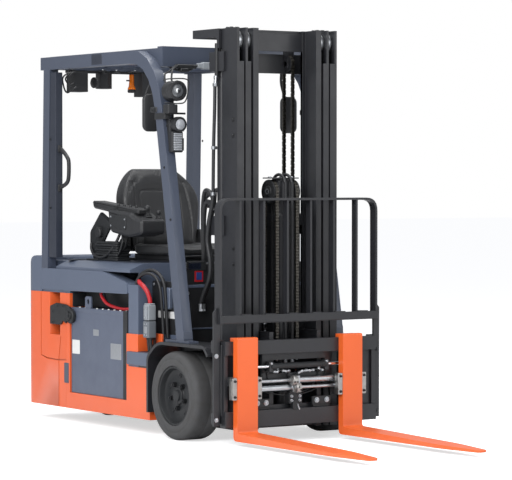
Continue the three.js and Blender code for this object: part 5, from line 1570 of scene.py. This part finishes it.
def leverParts(d):
    # four paddles in a row, then a stick on its bellows with a second small one beside it
    parts = []
    for number, y in enumerate((878, 834, 790, 746)):
        x = d["x"] - 34 + 12 * number
        parts.append(lathe([(0, 16), (3, 15), (8, 8), (10, 7)], (x, y, 1166 - number * 2.4), (0, 0, 1), 20))
        parts.append(slab(roundedRectangle(x - 8, x + 8, 1170 - number * 2.4, 1204 - number * 2.4, 7), "y",
                          y - 8, y + 4, 3))
    for x, y, z, size in ((-276, 668, 1136, 1.0), (-244, 604, 1122, 0.8)):
        ribs = np.arange(0, 9)
        bellows = np.stack([ribs * 4.2, (27 - ribs * 2.0 - 3.0 * (ribs % 2))], 1) * size
        parts.append(lathe(bellows, (x, y, z), (0, 0, 1), 28))
        turn = np.radians(np.linspace(-80, 88, 10))
        ball = np.stack([46 + 17 * np.sin(turn), 17 * np.cos(turn)], 1) * size
        parts.append(lathe(ball, (x, y, z), (0, 0, 1), 28))
        parts.append(lathe([(30 * size, 5), (40 * size, 5)], (x, y, z), (0, 0, 1), 14))
    screws = [bigBolt((d["podOuter"] - 3, y, z), (-1, 0, 0), 4, 3)
              for y, z in ((882, 1136), (736, 1122), (882, 1086), (736, 1080))]
    return [("mouldedPlastic", joined(parts)), ("zincPlate", joined(screws))]


arm = makePiece("armrestBody", armrestParts(armShape), "hood", "black_plastic", sharp=36)
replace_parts(arm, "armrest")
makePiece("armBellows", bellowsParts(), "hood", "black_plastic", sharp=40)
makePiece("fingerLevers", leverParts(armShape), "hood", "black_plastic", sharp=50)
cable("armLead_0", "hoseRubber", [(-322, 872, 1050), (-338, 900, 990), (-350, 960, 930), (-352, 1040, 908),
                                  (-346, 1120, 922),
      (-334, 1172, 952), (-326, 1186, 985)], 8, "hood")
cable("armLead_1", "hoseRubber", [(-300, 850, 1044), (-296, 862, 985), (-300, 900, 932), (-312, 960, 908),
                                  (-320, 1010, 903)], 7,
      "hood")
cable("armLead_2", "hoseRubber", [(-312, 852, 1050), (-330, 846, 985), (-336, 872, 930), (-340, 930, 908),
                                  (-338, 990, 904)], 6,
      "hood")
print("armrest and levers are made")


lampPlaces = {"headX": 457, "headZ": 1793, "markX": 440, "markZ": 1620, "signalX": 452, "signalZ": 1530,
              "front": 70}


def lampParts(side, d):
    # an eight-sided headlamp can, the round lamp and the ribbed one below it, and the box between
    y = d["front"]
    head = (side * d["headX"], y, d["headZ"])
    turn = np.linspace(0, 1, 10)
    dome = np.stack([2 + 8 * np.sqrt(1 - turn[::-1] ** 2), 37 * turn[::-1]], 1)[:-1]
    parts = [("mouldedPlastic", lathe([(-44, 38), (-34, 50), (-4, 54), (8, 53), (11, 48), (11, 41)], head,
                                      (0, -1, 0), 8, True)),
             ("mouldedPlastic", lathe([(0, 46), (9, 46), (9, 37), (1, 37)], head, (0, -1, 0), 44, True)),
             # the dome's dark colour is painted shade for the lamp's inside
             ("headGlassShaded", lathe(dome, head, (0, -1, 0), 44)),
             ("lampMirror", lathe([(8, 15), (11, 14), (12, 9), (12, 3)], head, (0, -1, 0), 28))]
    mark = (side * d["markX"], y + 30, d["markZ"])
    parts += [("mouldedPlastic", lathe([(0, 40), (30, 40), (36, 37), (36, 30), (30, 29), (30, 20)], mark,
                                       (0, -1, 0), 40, True)),
              ("lampLens", lathe([(28, 29), (33, 28), (37, 20), (38.5, 8)], mark, (0, -1, 0), 40))]
    x, z = side * d["signalX"], d["signalZ"]
    box = block(x - 34, x + 34, y + 4, y + 40, z - 54, z + 54, 8, 4, "y")
    ribs = [block(x - 25, x + 25, y - 2, y + 6, z + k - 3.4, z + k + 3.4, 2.5, 2, "y")
            for k in range(-40, 44, 9)]
    x = side * 485
    shelf = [block(x - 30, x + 30, 64, 120, 1676, 1722, 8, 3),
             sideBlock(side, 392, 505, 92, 98, 1672, 1682, 2, 1),
             sideBlock(side, 470, 508, 110, 216, z + 118, z + 150, 6, 2),
             sideBlock(side, 440, 480, y + 36, y + 90, z - 40, z + 120, 8, 3)]
    clamp = [sideBlock(side, 436, 506, 196, 262, 1684, 1712, 8, 3),
             sideBlock(side, 498, 512, 210, 232, 1688, 1708, 4, 2)]
    bolts = [hexBolt((side * 512, 221, 1698), (side, 0, 0), 13, 7),
             hexBolt((side * 470, 90, 1722), (0, 0, 1), 11, 6)]
    return parts + [("mouldedPlastic", box), ("lampLens", joined(ribs)),
                    ("mouldedPlastic", joined(shelf + clamp)), ("blackBolt", joined(bolts))]


def lampGuard(side, d):
    # a wire hoop round the headlamp, back to the pillar, and the lead down the pillar's edge
    x, y, z = side * d["headX"], d["front"] - 8, d["headZ"]
    hoop = hose([(side * 506, y + 66, z + 56), (x + side * 46, y, z + 60), (x - side * 54, y - 2, z + 58),
                 (x - side * 60, y - 2, z + 6), (x - side * 42, y - 2, z - 54), (x - side * 2, y, z - 66),
                 (x + side * 44, y + 60, z - 62)], 3.4, 80, 10)
    lead = hose([(side * 478, 104, 1640), (side * 482, 150, 1600), (side * 484, 196, 1560),
                 (side * 484, 180, 1400), (side * 484, 152, 1250), (side * 484, 128, 1100),
                 (side * 484, 100, 920)], 4.5, 90, 10)
    return [("castBlack", joined([hoop, lead]))]


def mirrorParts(side):
    # a shell with rolled edges, the glass towards the driver and the stem's ball joint
    x0, x1 = sorted((side * 383, side * 488))
    shell = slab(roundedRectangle(x0, x1, 1588, 1786, 34, 8), "y", 352, 376, 8)
    glass = slab(roundedRectangle(x0 + 8, x1 - 8, 1596, 1778, 28, 8), "y", 375, 377.6, 1)
    stem = hose([(side * 436, 372, 1690), (side * 436, 392, 1698), (side * 440, 410, 1780),
                 (side * 412, 400, 1860), (side * 404, 386, 1925)], 7, 40, 14)
    ball = lathe([(-12, 6), (-9, 12), (0, 15), (9, 12), (12, 6)], (side * 436, 376, 1690), (0, -1, 0), 24)
    return [("mouldedPlastic", shell), ("mirrorGlass", glass), ("mouldedPlastic", joined([stem, ball]))]


for sideName, side in sides.items():
    makePiece(f"lamps_{sideName}", lampParts(side, lampPlaces), "chassis", "lamp_body", sharp=40)
    makePiece(f"lampGuard_{sideName}", lampGuard(side, lampPlaces), "chassis", "lamp_body", sharp=60)
    mirror = makePiece(f"mirrorHead_{sideName}", mirrorParts(side), "chassis", "black_plastic", sharp=50)
    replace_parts(mirror, f"mirror_{sideName}")


def roofTrim():
    # the horn's mouth, bolts of the boxes, a plug with a yellow lock, dark bands round the side tubes
    horn = lathe([(0, 24), (4, 30), (14, 31), (16, 27), (10, 20), (9, 8)], (-214, 1330, 1880),
                 (-1, -0.2, 0), 36)
    tabs = [block(x - 14, x + 14, 1340, 1400, 1944, 1951, 3, 1) for x in (-350, -150, -60, 60)]
    bolts = [hexBolt((x, 1362, 1951), (0, 0, 1), 11, 5, False) for x in (-350, -150, -60, 60)]
    plugBody = joined([block(-212, -158, 208, 236, 1914, 1952, 5, 2, "x"),
                       block(-240, -210, 212, 232, 1920, 1946, 4, 2, "x")])
    lock = block(-158, -148, 207, 237, 1913, 1953, 5, 2, "x")
    darkBands = [sideBlock(side, 440, 501, 764, 882, 1947, 2018, 12, 4, "y") for side in (-1, 1)]
    return [("mouldedPlastic", joined([horn] + tabs)), ("zincPlate", joined(bolts)),
            ("connectorPlastic", plugBody), ("yellowLock", lock), ("darkBlueGrey", joined(darkBands))]


makePiece("roofTrim", roofTrim(), "chassis", "black_plastic", sharp=40)
cable("roofLead_0", "hoseRubber", [(-240, 222, 1934), (-286, 222, 1910), (-330, 228, 1902),
                                   (-380, 244, 1918), (-420, 266, 1944)], 6,
      "chassis")
cable("roofLead_1", "hoseRubber", [(-148, 222, 1934), (-110, 222, 1912), (-60, 224, 1906), (-10, 226, 1914),
                                   (40, 230, 1932)], 6,
      "chassis")
for number, (y, low) in enumerate(((1300, 1840), (1330, 1862), (1355, 1822))):
    cable(f"moduleLead_{number}", "hoseRubber",
          [(-352, y + 12, 1936), (-378, y + 4, 1930), (-402 - 5 * number, y, 1900), (-400, y, low + 18),
           (-380, y + 2, low), (-352, y + 8, low + 14)], 4.5, "chassis", count=50)
cable("headLead_0", "hoseRubber", [(-452, 118, 1800), (-448, 140, 1860), (-430, 160, 1900),
                                   (-400, 190, 1916), (-350, 222, 1934)], 5,
      "chassis")
cable("headLead_1", "hoseRubber", [(-470, 122, 1780), (-478, 150, 1830), (-470, 170, 1880),
                                   (-430, 196, 1896), (-372, 224, 1930)], 5,
      "chassis")
harness = [block(-372, -252, 206, 236, 1915, 1938, 8, 4, "x"),
           block(-352, -300, 200, 234, 1898, 1918, 6, 3, "x")]
makePiece("roofHarness", [("castBlack", joined(harness))], "chassis", "dark_paint")


def pillarTrim():
    # a dark strip on the right rear pillar's front, where the grab handle is bolted, is painted shade for
    # the inside of the pillar's open channel
    channel = block(-497, -452, 1284.5, 1366, 905, 1930, 3, 1)
    makePiece("pillarChannelShade", [("darkBlueGrey", channel)], "chassis", "dark_paint")
    heads = [bigBolt((side * 500.4, y, z), (side, 0, 0), 5.5, 3.5) for side in (-1, 1)
             for y, z in ((66, 1130), (128, 1398), (1340, 1180), (1340, 1560))]
    makePiece("pillarBolts", [("castBlack", joined(heads))], "chassis", "dark_paint")


pillarTrim()
print("guard is trimmed")


def grabParts():
    # a bent bar on two feet
    bar = hose([(-470, 1300, 1508), (-470, 1264, 1502), (-470, 1204, 1462), (-470, 1184, 1430),
                (-470, 1186, 1350), (-470, 1206, 1318), (-470, 1264, 1296), (-470, 1300, 1288)], 11, 70, 16)
    feet = [block(-484, -456, 1277, 1290, z - 20, z + 20, 8, 2, "y") for z in (1507, 1289)]
    return [("mouldedPlastic", joined([bar] + feet))]


def beaconParts():
    # a slim amber tube between a dark cap and a dark foot, on its bracket under the roof
    x, y = 58, 1395
    lens = lathe([(1936, 12), (1930, 14), (1888, 14), (1866, 17), (1856, 22), (1850, 22), (1848, 18)],
                 (x, y, 0), (0, 0, 1), 32)
    foot = joined([lathe([(1850, 16), (1848, 22), (1836, 23), (1830, 18), (1830, 6)], (x, y, 0), (0, 0, 1),
                         32),
                   lathe([(1948, 14), (1934, 14), (1932, 10)], (x, y, 0), (0, 0, 1), 32),
                   block(x - 32, x + 34, y - 50, y + 45, 1943, 1950, 5, 2),
                   block(x - 34, x - 12, y - 4, y + 4, 1895, 1903, 2, 1)])
    return [("amberLens", lens), ("castBlack", foot)]


slim = makePiece("slimBeacon", beaconParts(), "chassis", "amber_lens", sharp=50)
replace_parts(slim, "beacon")
grabHandle = makePiece("grabBar", grabParts(), "chassis", "black_plastic", sharp=50)
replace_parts(grabHandle, "grab_handle")


def cowlParts():
    # display, two blank plates, a seam strip, bolts and the column's stalks
    display = joined([block(-396, -280, 72, 80.5, 864, 914, 6, 2, "y")])
    screen = block(-388, -312, 70.6, 73, 872, 906, 3, 1, "y")
    frame = block(-347, -295, 76, 80.4, 806, 867, 3, 1, "y")
    inset = block(-338, -304, 74.4, 77, 816, 856, 3, 0.6, "y")
    strip = [block(-436, 436, 75, 80.4, 776, 792, 4, 2, "y"),
             block(-436, 436, 74, 80.4, 560, 568, 3, 1.5, "y")]
    bolts = [hexBolt((x, 80, z), (0, -1, 0), 12, 5) for x in (-410, -388, 388, 410) for z in (876, 748)]
    return [("mouldedPlastic", display), ("darkGlass", screen), ("redSheath", frame), ("bluePlate", inset),
            ("greyPowderCoat", joined(strip)), ("zincPlate", joined(bolts))]


makePiece("cowlTrim", cowlParts(), "chassis", "black_plastic", sharp=40)
stalks = [hose([(side * 40, 262, 1196), (side * 90, 240, 1206), (side * 168, 222, 1222)], 5.5, 20, 12)
          for side in (-1, 1)]
grips = [lathe([(0, 7), (4, 10), (34, 10), (38, 7)], (side * 150, 227, 1218), (side, -0.22, 0.2), 18)
         for side in (-1, 1)]
makePiece("columnStalks", [("mouldedPlastic", joined(stalks + grips))], "chassis", "black_plastic",
          sharp=50)
print("cowl is trimmed")
print("cable lengths in metres:", cableLengths)
